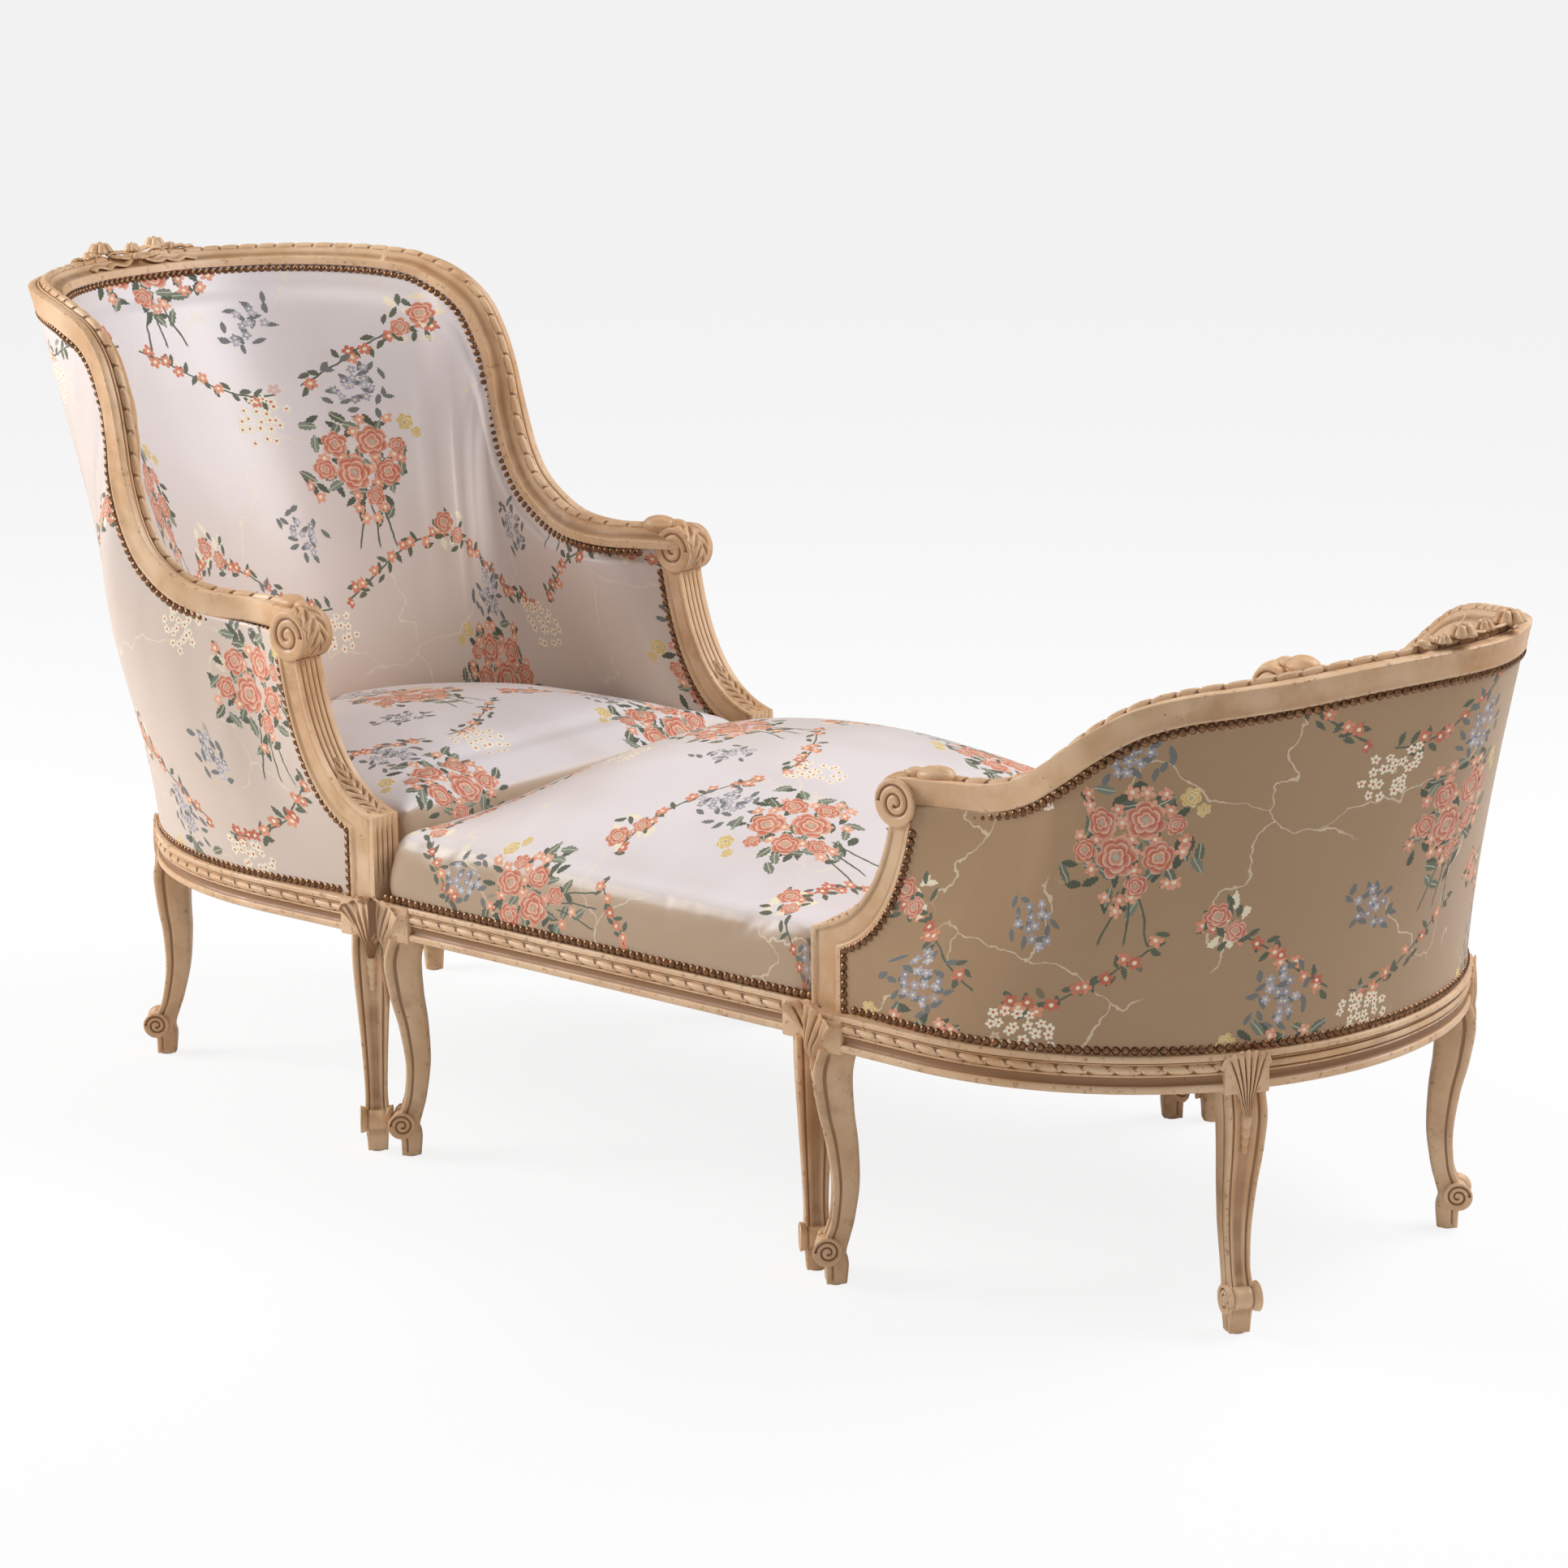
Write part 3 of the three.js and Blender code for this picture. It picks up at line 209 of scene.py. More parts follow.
def curve_through(points, t):
    """Points of the centripetal curve through a list of points, at parameters from 0 to its last one."""
    p = np.asarray(points, float)
    p = np.vstack([2 * p[0] - p[1], p, 2 * p[-1] - p[-2]])
    t = np.clip(np.atleast_1d(t), 0, len(points) - 1)
    i = np.minimum(t.astype(int), len(points) - 2)
    w = (t - i)[:, None]
    a, b, c, d = p[i], p[i + 1], p[i + 2], p[i + 3]
    spans = (b - a, c - b, d - c)
    da, db, dc = (np.maximum(np.linalg.norm(span, axis=1, keepdims=True), 1e-9) ** 0.5 for span in spans)
    m1 = ((b - a) / da - (c - a) / (da + db) + (c - b) / db) * db
    m2 = ((c - b) / db - (d - b) / (db + dc) + (d - c) / dc) * db
    return b + m1 * w + (-3 * b + 3 * c - 2 * m1 - m2) * w ** 2 + (2 * b - 2 * c + m1 + m2) * w ** 3


def length_along(points):
    """Length from the first point of a line to each of its points."""
    return np.concatenate([[0], np.cumsum(np.linalg.norm(np.diff(points, axis=0), axis=1))])


def plan_point(tub, angle, inset=0.0):
    """Point of the seat plan at an angle from the middle of the back, moved in by an inset."""
    angle = np.asarray(angle, float)
    along, across = np.cos(angle), np.abs(np.sin(angle))
    half = tub["half"] - inset
    slope = (tub["front_half"] - tub["half"]) / tub["centre"]
    p = tub["power"]
    back = ((np.maximum(along, 0) / (tub["reach"] - inset)) ** p + (across / half) ** p) ** (-1 / p)
    front = half / np.maximum(across + slope * along, 1e-6)
    radius = np.where(along >= 0, back, front)
    side = np.where(angle < 0, -1.0, 1.0)
    return np.stack([tub["centre"] + radius * along, side * radius * across, np.zeros_like(along)], -1)


def plan_angle_at(tub, setback, inset=0.0):
    slope = (tub["front_half"] - tub["half"]) / tub["centre"]
    forward = tub["centre"] - setback
    return math.atan2(tub["half"] - inset + slope * forward, -forward)


def path_angle(tub, points):
    return np.arctan2(points[..., 1], points[..., 0] - tub["centre"])


def wood_rings(tub, t):
    """Rings of the show wood at parameters along its path: origin, out, up and length so far."""
    half = np.array([(d * tub["depth"], -w * tub["console"], h * tub["height"]) for d, w, h in tub["path"]])
    knots = np.vstack([half, half[-2::-1] * [1, -1, 1]])
    origin = curve_through(knots, t)
    small = 1e-3
    along = unit(curve_through(knots, np.asarray(t) + small) - curve_through(knots, np.asarray(t) - small))
    level = unit(np.cross(along, UP))
    tilt = tub["lean"] * (1 - smooth(np.abs(path_angle(tub, origin)), 0.3, 1.1))[:, None]
    out = level * np.cos(tilt) + np.cross(along, level) * np.sin(tilt)
    return dict(origin=origin, out=out, up=np.cross(out, along), along=along, length=length_along(origin),
                t=np.asarray(t))


def even_rings(tub, first, last, step):
    """Rings at an even step of length, from one knot of the path to another."""
    fine = wood_rings(tub, np.linspace(first, last, 1600))
    count = max(2, round(fine["length"][-1] / step))
    t = np.interp(np.linspace(0, fine["length"][-1], count + 1), fine["length"], fine["t"])
    return wood_rings(tub, t)


def last_knot(tub):
    return 2 * (len(tub["path"]) - 1)


def at_ring(rings, across, up):
    across, up = np.asarray(across)[..., None], np.asarray(up)[..., None]
    return rings["origin"] + rings["out"] * across + rings["up"] * up


def to_world(tub, points):
    points = np.asarray(points, float)
    turn = tub["turn"]
    return np.stack([tub["start"] + turn * points[..., 0], turn * points[..., 1], points[..., 2]], -1)


def way_to_world(tub, ways):
    return to_world(tub, ways) - to_world(tub, [0, 0, 0])


def console_edges(tub, t):
    """Front and rear edge of a console at shares from the block up to the volute, as u and z."""
    u0, z0, radius = tub["volute"]
    seat = radius + 0.0003
    t = np.asarray(t)[:, None]

    def bent(start, turn, along, rise):
        end = np.array([u0 + seat * math.cos(turn), z0 + seat * math.sin(turn)])
        mid = np.array([start[0] + (end[0] - start[0]) * along, start[1] + (end[1] - start[1]) * rise])
        return (1 - t) ** 2 * np.array(start) + 2 * t * (1 - t) * mid + t * t * end

    front = bent((0.0, tub["block_top"]), -1.92, 0.79, 0.13)
    back = bent((tub["block_depth"], tub["block_top"] - tub["block_drop"]), -0.79, 0.74, 0.15)
    return front, back


# Meshes made from a grid

def only(piece):
    bpy.ops.object.select_all(action="DESELECT")
    bpy.context.view_layer.objects.active = piece
    piece.select_set(True)


def grid_piece(name, points, uv=None, closed=(False, False), capped=False, angle=40):
    """A primitive grid moved onto a table of points, welded where it closes, its open ends filled."""
    points = np.asarray(points, float)
    rows, columns = points.shape[0] - 1, points.shape[1] - 1
    bpy.ops.object.select_all(action="DESELECT")
    bpy.ops.mesh.primitive_grid_add(x_subdivisions=rows, y_subdivisions=columns, size=1)
    piece = bpy.context.object
    piece.name = piece.data.name = name
    mesh = piece.data
    flat = np.transpose(points, (1, 0, 2)).reshape(-1, 3)
    mesh.vertices.foreach_set("co", flat.ravel())
    if uv is not None:
        flat_uv = np.transpose(np.asarray(uv, float), (1, 0, 2)).reshape(-1, 2)
        mesh.uv_layers[0].data.foreach_set("uv", flat_uv[corner_vertices(mesh)].ravel())
    mesh.update()
    bpy.ops.object.mode_set(mode="EDIT")
    bpy.ops.mesh.select_all(action="SELECT")
    if any(closed):
        bpy.ops.mesh.remove_doubles(threshold=2e-6)
    if capped:
        bpy.ops.mesh.fill_holes(sides=0)
        bpy.ops.mesh.select_all(action="SELECT")
    bpy.ops.mesh.normals_make_consistent(inside=False)
    bpy.ops.object.mode_set(mode="OBJECT")
    bpy.ops.object.shade_smooth_by_angle(angle=math.radians(angle))
    return piece


def joined(name, pieces):
    only(pieces[0])
    for other in pieces[1:]:
        other.select_set(True)
    if len(pieces) > 1:
        bpy.ops.object.join()
    pieces[0].name = pieces[0].data.name = name
    return pieces[0]


def tube(name, points, angle=40):
    """A grid closed round its columns and filled at both ends."""
    return grid_piece(name, points, closed=(False, True), capped=True, angle=angle)


def apply_all(piece):
    only(piece)
    for modifier in list(piece.modifiers):
        bpy.ops.object.modifier_apply(modifier=modifier.name)
    return piece


def thickened(piece, thickness, offset=-1):
    shell = piece.modifiers.new("shell", "SOLIDIFY")
    shell.thickness, shell.offset = thickness, offset
    return apply_all(piece)


def clipped(piece, point, normal):
    """Cuts away what lies on the side of a plane that its normal points to, and closes the cut."""
    only(piece)
    bpy.ops.object.mode_set(mode="EDIT")
    bpy.ops.mesh.select_all(action="SELECT")
    bpy.ops.mesh.bisect(plane_co=point, plane_no=normal, use_fill=True, clear_outer=True, threshold=1e-5)
    bpy.ops.object.mode_set(mode="OBJECT")
    return piece


def vertex_table(mesh, what):
    """The places or the normals of a mesh, a row for each vertex."""
    table = np.empty(len(mesh.vertices) * 3)
    mesh.vertices.foreach_get(what, table)
    return table.reshape(-1, 3)


def corner_vertices(mesh):
    corner = np.empty(len(mesh.loops), int)
    mesh.loops.foreach_get("vertex_index", corner)
    return corner


def mark_hollows(piece, passes=3):
    """Stores how hollow or proud the surface is at each corner, for the glaze and the wear."""
    mesh = piece.data
    place, normal = vertex_table(mesh, "co"), vertex_table(mesh, "normal")
    count = len(place)
    ends = np.empty(len(mesh.edges) * 2, int)
    mesh.edges.foreach_get("vertices", ends)
    a, b = ends.reshape(-1, 2).T
    around = np.maximum(np.bincount(a, minlength=count) + np.bincount(b, minlength=count), 1)

    def spread(values):
        return np.bincount(a, values[b], count) + np.bincount(b, values[a], count)

    step = place[b] - place[a]
    length = np.maximum(np.linalg.norm(step, axis=1), 1e-7)
    rise = np.bincount(a, (step * normal[a]).sum(1) / length, count)
    rise -= np.bincount(b, (step * normal[b]).sum(1) / length, count)
    hollow = rise / around
    for _ in range(passes):
        hollow = 0.4 * hollow + 0.6 * spread(hollow) / around
    layer = mesh.attributes.new("hollow", "FLOAT", "POINT")
    layer.data.foreach_set("value", (1.6 * hollow).astype(np.float32))
    return piece


def settle(piece, tub_or_stool, slot, *nodes, finish):
    piece.data.materials.clear()
    piece.data.materials.append(finish)
    if nodes:
        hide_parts(*nodes)
    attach(piece, tub_or_stool["body"])
    return piece


# Materials

def reckon(operation, swapped=False):
    """A sum of two signals, or of a signal and a number, as one node."""
    def method(self, other):
        values = (other, self) if swapped else (self, other)
        return (self.board.vector if self.wide else self.board.math)(operation, *values)
    return method


class Signal:
    """What a socket gives out. Sums of signals make math nodes."""

    def __init__(self, board, socket):
        self.board, self.socket = board, socket
        self.wide = socket.type in ("VECTOR", "RGBA")

    __add__, __radd__ = reckon("ADD"), reckon("ADD", True)
    __sub__, __rsub__ = reckon("SUBTRACT"), reckon("SUBTRACT", True)
    __mul__, __rmul__ = reckon("MULTIPLY"), reckon("MULTIPLY", True)
    __truediv__, __rtruediv__ = reckon("DIVIDE"), reckon("DIVIDE", True)
    __pow__ = reckon("POWER")


class Board:
    """A node tree and short ways to add to it."""

    def __init__(self, tree):
        self.tree = tree

    def feed(self, socket, value):
        if isinstance(value, Signal):
            self.tree.links.new(value.socket, socket)
        elif value is not None:
            opaque = (*value, 1.0) if socket.type == "RGBA" else value
            socket.default_value = opaque

    def fill(self, node, values):
        for key, value in values.items():
            self.feed(node.inputs[key], value)

    def signals(self, node):
        """What a node gives out, by name and by place."""
        given = {}
        for place, socket in enumerate(node.outputs):
            given[place] = given[socket.name] = Signal(self, socket)
        return given

    def add(self, kind, values=None, **settings):
        """Adds a node with its settings, fills its sockets and returns what it gives out."""
        node = self.tree.nodes.new(kind)
        across = 40 * len(self.tree.nodes)
        node.location = (across, -(across % 400))
        for key, value in settings.items():
            setattr(node, key, value)
        self.fill(node, values or {})
        return self.signals(node)

    def math(self, operation, *values, clamp=False):
        return self.add("ShaderNodeMath", dict(enumerate(values)), operation=operation, use_clamp=clamp)[0]

    def vector(self, operation, *values):
        given = self.add("ShaderNodeVectorMath", dict(enumerate(values)), operation=operation)
        return given["Value" if operation == "LENGTH" else "Vector"]

    def parts(self, vector):
        return self.add("ShaderNodeSeparateXYZ", {0: vector})

    def pack(self, x, y):
        return self.add("ShaderNodeCombineXYZ", {0: x, 1: y})[0]

    def step(self, value, low, high, out_low=0.0, out_high=1.0):
        values = dict(enumerate((value, low, high, out_low, out_high)))
        return self.add("ShaderNodeMapRange", values, interpolation_type="SMOOTHSTEP")[0]

    def mix(self, share, first, second):
        """Mixes two colours."""
        return self.add("ShaderNodeMix", {0: share, 6: first, 7: second}, data_type="RGBA")[2]

    def choose(self, share, first, second):
        """Mixes two vectors."""
        return self.add("ShaderNodeMix", {0: share, 4: first, 5: second}, data_type="VECTOR")[1]

    def noise(self, place, scale, detail=2.0, rough=0.5, output="Fac"):
        values = {"Vector": place, "Scale": scale, "Detail": detail, "Roughness": rough}
        return self.add("ShaderNodeTexNoise", values)[output]

    def group(self, tree, values):
        return self.add("ShaderNodeGroup", values, node_tree=tree)

    def bump(self, height, strength, distance):
        return self.add("ShaderNodeBump", {"Strength": strength, "Distance": distance, "Height": height})[0]

    def object_place(self):
        return self.add("ShaderNodeTexCoord")["Object"]


SOCKETS = {"F": "NodeSocketFloat", "V": "NodeSocketVector", "C": "NodeSocketColor"}


def new_group(name, inputs, outputs):
    """A node group as a board, what it is given and a way to set what it gives out."""
    tree = bpy.data.node_groups.new(name, "ShaderNodeTree")
    for labels, way in ((inputs, "INPUT"), (outputs, "OUTPUT")):
        for label in labels.split(", "):
            tree.interface.new_socket(name=label[2:], in_out=way, socket_type=SOCKETS[label[0]])
    board = Board(tree)
    source = tree.nodes.new("NodeGroupInput")
    sink = tree.nodes.new("NodeGroupOutput")

    def give(**values):
        board.fill(sink, values)

    return board, board.signals(source), give


def new_material(name):
    material = bpy.data.materials.new(name)
    material.use_nodes = True
    return material, Board(material.node_tree), material.node_tree.nodes["Principled BSDF"]


def worn_paint_group():
    """Antiqued paint: cloudy, glazed in the hollows, worn along the edges, with a few dark specks."""
    board, given, give = new_group(
        "worn paint", "V Place, F Hollow, C Paint, C Light paint, C Glaze", "C Colour, F Roughness, F Height")
    place, light, glaze = given["Place"], given["Light paint"], given["Glaze"]
    broad = board.noise(place, 9.0, 3.0)
    cloudy = board.noise(place, 45.0, 4.0, 0.6)
    streaks = board.noise(place * (260.0, 260.0, 40.0), 1.0, 3.0)
    base = board.mix(board.step(broad, 0.35, 0.7), given["Paint"], light)
    base = board.mix(board.step(cloudy, 0.45, 0.75) * 0.35, base, light)
    glazed = board.step(given["Hollow"] + (cloudy - 0.5) * 0.06, 0.004, 0.12, 0.0, 0.95)
    veil = board.step(board.noise(place, 22.0, 5.0, 0.65), 0.48, 0.72) * 0.34
    colour = board.mix(board.math("MAXIMUM", glazed, veil), base, glaze)
    proud = board.step(given["Hollow"], -0.05, -0.22)
    worn = proud * board.step(board.noise(place, 120.0, 4.0, 0.7), 0.56, 0.66)
    colour = board.mix(proud * 0.4, colour, light)
    colour = board.mix(worn * 0.7, colour, glaze)
    specks = board.add("ShaderNodeTexVoronoi", {"Vector": place, "Scale": 95.0}, feature="F1")["Distance"]
    specks = board.step(specks, 0.12, 0.06) * board.step(board.noise(place, 14.0, 1.0), 0.62, 0.66)
    colour = board.mix(specks * 0.8, colour, DARK_SPECK)
    height = streaks * 0.35 + cloudy * 0.4 - (worn + specks)
    give(Colour=colour, Roughness=board.step(cloudy, 0.2, 0.8, 0.42, 0.6), Height=height)
    return board.tree


def painted_wood(colours):
    material, board, shader = new_material("cream painted wood")
    paint = board.group(GROUPS["paint"], {
        "Place": board.object_place(),
        "Hollow": board.add("ShaderNodeAttribute", attribute_name="hollow")["Fac"],
        "Paint": tuple(colours.paint), "Light paint": tuple(colours.paint_light),
        "Glaze": tuple(colours.antiquing)})
    board.fill(shader, {
        "Base Color": paint["Colour"], "Roughness": paint["Roughness"], "Coat Weight": 0.12,
        "Coat Roughness": 0.35, "Normal": board.bump(paint["Height"], 0.35, 0.0006)})
    return material


def antique_brass(colours):
    material, board, shader = new_material("antique brass nails")
    place = board.object_place()
    patchy = board.noise(place, 160.0, 3.0)
    fine = board.noise(place, 900.0, 2.0)
    tone = board.mix(board.step(patchy, 0.35, 0.7), tuple(colours.nail), BRIGHT_BRASS)
    board.fill(shader, {
        "Base Color": board.mix(board.step(fine, 0.5, 0.8), tone, BRASS_DIRT), "Metallic": 0.85,
        "Roughness": board.step(patchy, 0.3, 0.7, 0.3, 0.48), "Normal": board.bump(fine, 0.2, 0.0002)})
    return material


def bare_beech():
    material, board, shader = new_material("bare beech")
    place = board.object_place()
    grain = board.noise(place * (140.0, 140.0, 9.0), 1.0, 5.0, 0.6)
    flecks = board.noise(place * (420.0, 420.0, 60.0), 1.0, 2.0)
    tone = board.mix(board.step(grain, 0.35, 0.7), *BEECH)
    board.fill(shader, {
        "Base Color": board.mix(board.step(flecks, 0.58, 0.7, 0.0, 0.5), tone, BEECH_FLECK),
        "Roughness": 0.65, "Normal": board.bump(grain, 0.3, 0.0005)})
    return material


def weave_height(board, x, y, pitch):
    """Height of a plain weave over two lengths in metres."""
    turn = 2 * math.pi / pitch
    return board.math("SINE", x * turn) * board.math("SINE", y * turn)


def jute_webbing():
    material, board, shader = new_material("jute webbing")
    place = board.parts(board.object_place())
    weave = weave_height(board, place["X"], place["Y"], JUTE_PITCH)
    dirt = board.noise(board.pack(place["X"], place["Y"]), 18.0, 4.0)
    tone = board.mix(board.step(dirt, 0.3, 0.7), *JUTE)
    board.fill(shader, {
        # Painted shade: the low points of the weave, between the threads, are darkened
        "Base Color": board.mix(board.step(weave, 0.0, -1.0, 0.0, 0.6), tone, JUTE_GAP_SHADE),
        "Roughness": 0.9, "Normal": board.bump(weave, 0.6, 0.0008)})
    return material


def spring_steel():
    material, board, shader = new_material("spring steel")
    place = board.object_place()
    rust = board.step(board.noise(place, 60.0, 5.0, 0.6), 0.55, 0.72)
    board.fill(shader, {
        "Base Color": board.mix(rust, STEEL, RUST), "Metallic": board.step(rust, 0.0, 1.0, 0.95, 0.2),
        "Roughness": board.step(rust, 0.0, 1.0, 0.35, 0.8),
        "Normal": board.bump(board.noise(place, 500.0), 0.2, 0.0002)})
    return material


GROUPS = {}
FINISH = {}


# Carved wood

def arc(centre, radius, first, last, count):
    angles = np.radians(np.linspace(first, last, count))
    return [(centre[0] + radius * math.cos(a), centre[1] + radius * math.sin(a)) for a in angles]


def millimetres(points):
    return np.array(points, float) / 1000


# Section of the show wood, outer top edge at 0, 0: inner bead, cove, ribbon, bead, flat top, outer face
SHOW_RIBBON = arc((-22.5, -2.6), 5.4, 172, 8, 13)
SHOW_INNER = [(-42, -30), (-42, -21.5), (-41.7, -19.8), (-40.6, -18.7), (-39.3, -18.9), (-38.6, -18.2),
              (-36.2, -16.8), (-33.6, -14.2), (-31.5, -10.6), (-30.3, -6.8), (-29.6, -4.5), (-28.5, -4.1)]
SHOW_OUTER = [(-16.4, -3.7), *arc((-14.0, -2.9), 1.9, 150, 30, 4), (-11.5, -3.3), (-10.8, -1.2), (-9.6, -0.2),
              (-5.0, 0), (-1.6, -0.1), (-0.4, -0.7), (0, -2.0), (0, -14), (0, -25.4), (0.6, -26.6),
              (0.6, -28.8), (0, -30), (-21, -30), (-42, -30)]
# Section of a seat rail, outer face at 0, underside at 0: bottom bead, cove, bead, ribbon, bead, top bead
RAIL_RIBBON = arc((-4.2, 26.6), 4.6, -78, 78, 13)
RAIL_LOWER = [(-36, 0), (-1.5, 0), (0, 1.2), (0.3, 4), (0, 7), (-1.2, 8.4), (-2.4, 8.8), (-4.4, 11.2),
              (-5.0, 14.4), (-4.4, 17.6), (-3.0, 18.9), (-1.9, 19.4), (-1.6, 20.4), (-2.6, 21.4), (-3.6, 21.8)]
RAIL_UPPER = [(-3.7, 31.5), (-2.6, 31.9), (-1.7, 32.8), (-2.3, 33.7), (-3.3, 34.1), (-1.1, 34.8), (0.5, 36.0),
              (0.8, 38.4), (0.3, 40.8), (-1.2, 42), (-36, 42), (-36, 0)]


def ribbon_cut(sizes, length, count):
    """How far each point across a carved ribbon is pushed out, along a length of wood."""
    lag = np.linspace(0, 0.32, count)[None, :]
    turn = np.mod(length[:, None] / sizes.ribbon_pitch + lag, 1.0)
    notch = smooth(turn, 0.82, 0.87) * (1 - smooth(turn, 0.95, 1.0))
    swell = 0.0007 * np.sin(np.pi * np.clip(turn / 0.8, 0, 1))
    across = np.linspace(-1, 1, count)[None, :]
    hem = 0.0004 * np.exp(-((np.abs(across) - 0.62) / 0.12) ** 2)
    return swell - hem * (1 - notch) - notch * sizes.ribbon_notch


def moulded(rings, before, ribbon, after, sizes, carved):
    """A moulding swept through rings, with a carved ribbon between its lower and its upper members."""
    profile = millimetres([*before, *ribbon, *after])
    first, last = len(before), len(before) + len(ribbon)
    across = np.repeat(profile[None, :, 0], len(rings["origin"]), 0)
    up = np.repeat(profile[None, :, 1], len(rings["origin"]), 0)
    centre = profile[first:last].mean(0)
    away = unit(profile[first:last] - centre)
    push = ribbon_cut(sizes, rings["length"], last - first) if carved else -0.0006
    across[:, first:last] += push * away[:, 0]
    up[:, first:last] += push * away[:, 1]
    return (rings["origin"][:, None] + rings["out"][:, None] * across[..., None]
            + rings["up"][:, None] * up[..., None])


def show_wood_points(tub, first, last, sizes):
    rings = even_rings(tub, first, last, 0.0017)
    return to_world(tub, moulded(rings, SHOW_INNER, SHOW_RIBBON, SHOW_OUTER, sizes, True))


def disc_surface(centre, out, axis, radius, width, steps=96, flutes=5, waist=0.0):
    """Points of a scroll: both faces with an incised spiral, and a fluted edge between them."""
    centre, out, axis = (np.asarray(v, float) for v in (centre, out, axis))
    turn = np.linspace(0, 2 * np.pi, steps + 1)
    face = np.concatenate([np.linspace(0.001, 0.9, 22), [0.94, 0.97, 0.99]])
    half = width / 2
    flat = [(r, half, True) for r in face]
    drop = [(1.0, half * (1 - k), False) for k in np.linspace(0.06, 1.94, 25)]
    loop = [*flat, *drop, *[(r, -half, True) for r in face[::-1]]]
    points = np.empty((steps + 1, len(loop), 3))
    for j, (share, across, on_face) in enumerate(loop):
        r = np.full_like(turn, share * radius)
        y = np.full_like(turn, across)
        if on_face:
            incised = np.zeros_like(turn)
            for lap in range(2):
                groove = 0.80 - 0.37 * (turn / (2 * np.pi) + lap)
                incised = np.maximum(incised, np.exp(-((share - groove) / 0.07) ** 2) * (groove > 0.12))
            edge = max(0.0, share - 0.9) / 0.1
            y -= np.sign(across) * (0.0026 * incised + 0.0012 * edge ** 2)
        else:
            cut = np.abs(np.cos(np.pi * flutes * (across / width))) ** 0.5
            r -= 0.0010 * cut * (abs(across) < 0.46 * width)
            r -= waist * radius * (1 - smooth(abs(2 * across / width), 0.52, 0.76))
        points[:, j] = (centre + out * (r * np.cos(turn))[:, None] + UP * (r * np.sin(turn))[:, None]
                        + axis * y[:, None])
    return points


def bud_surface(centre, along, across, up, size, ribs=7, steps=40):
    """Points of a ribbed bud: half sunk, its ribs running from end to end."""
    length, width, height = size
    theta = np.linspace(0.02, np.pi - 0.02, 25)[:, None]
    phi = np.linspace(0, 2 * np.pi, steps + 1)[None, :]
    rib = 1 + 0.10 * np.abs(np.cos(ribs * phi / 2)) * np.sin(theta)
    a = length / 2 * np.cos(theta) * np.ones_like(phi)
    b = width / 2 * np.sin(theta) ** 0.8 * np.cos(phi) * rib
    c = height * np.sin(theta) ** 0.8 * np.sin(phi) * rib
    return (np.asarray(centre)[None, None] + np.asarray(along) * a[..., None]
            + np.asarray(across) * b[..., None] + np.asarray(up) * c[..., None])


def leaf_on(base, wide, high, half_width, relief, teeth):
    """A carved leaf on a run of stations: base points, their across and outward directions."""
    across = np.linspace(-1, 1, 29)
    share = np.linspace(0, 1, len(base))
    outline = np.sin(np.pi * np.clip(share, 0.0, 1.0) ** 0.75) ** 0.55
    tooth = 0.86 + 0.14 * np.abs(np.cos(np.pi * teeth * share))
    spread = half_width * np.maximum(outline * tooth, 0.08)
    x = across[None, :] * spread[:, None]
    vein = np.exp(-(across / 0.10) ** 2)[None, :]
    ribs = 0.5 + 0.5 * np.cos(2 * np.pi * (teeth * share[:, None] - 1.6 * np.abs(across)[None, :]))
    round_off = 1 - np.abs(across)[None, :] ** 3
    height = relief * (0.35 * vein + 0.65 * ribs * (1 - vein)) * round_off + 0.25 * relief * round_off
    height = height * np.sin(np.pi * np.clip(share, 0.02, 0.98))[:, None] ** 0.4 - 0.0004
    points = base[:, None] + wide[:, None] * x[..., None] + high[:, None] * height[..., None]
    return thickened(grid_piece("leaf", points), LEAF_THICKNESS)


def leg_block():
    """The square block above a leg, round its own middle, with its edges eased."""
    low = RAIL_TOP - RAIL_HEIGHT - BLOCK_DROP
    high = RAIL_TOP + BLOCK_RISE
    bpy.ops.object.select_all(action="DESELECT")
    bpy.ops.mesh.primitive_cube_add(size=1, location=(0, 0, (low + high) / 2))
    box = bpy.context.object
    box.scale = (BLOCK, BLOCK, high - low)
    bpy.ops.object.transform_apply(location=True, rotation=True, scale=True)
    bevel = box.modifiers.new("edge", "BEVEL")
    bevel.width, bevel.segments = BLOCK_EDGE, 2
    apply_all(box)
    bpy.ops.object.shade_smooth_by_angle(angle=math.radians(40))
    return box


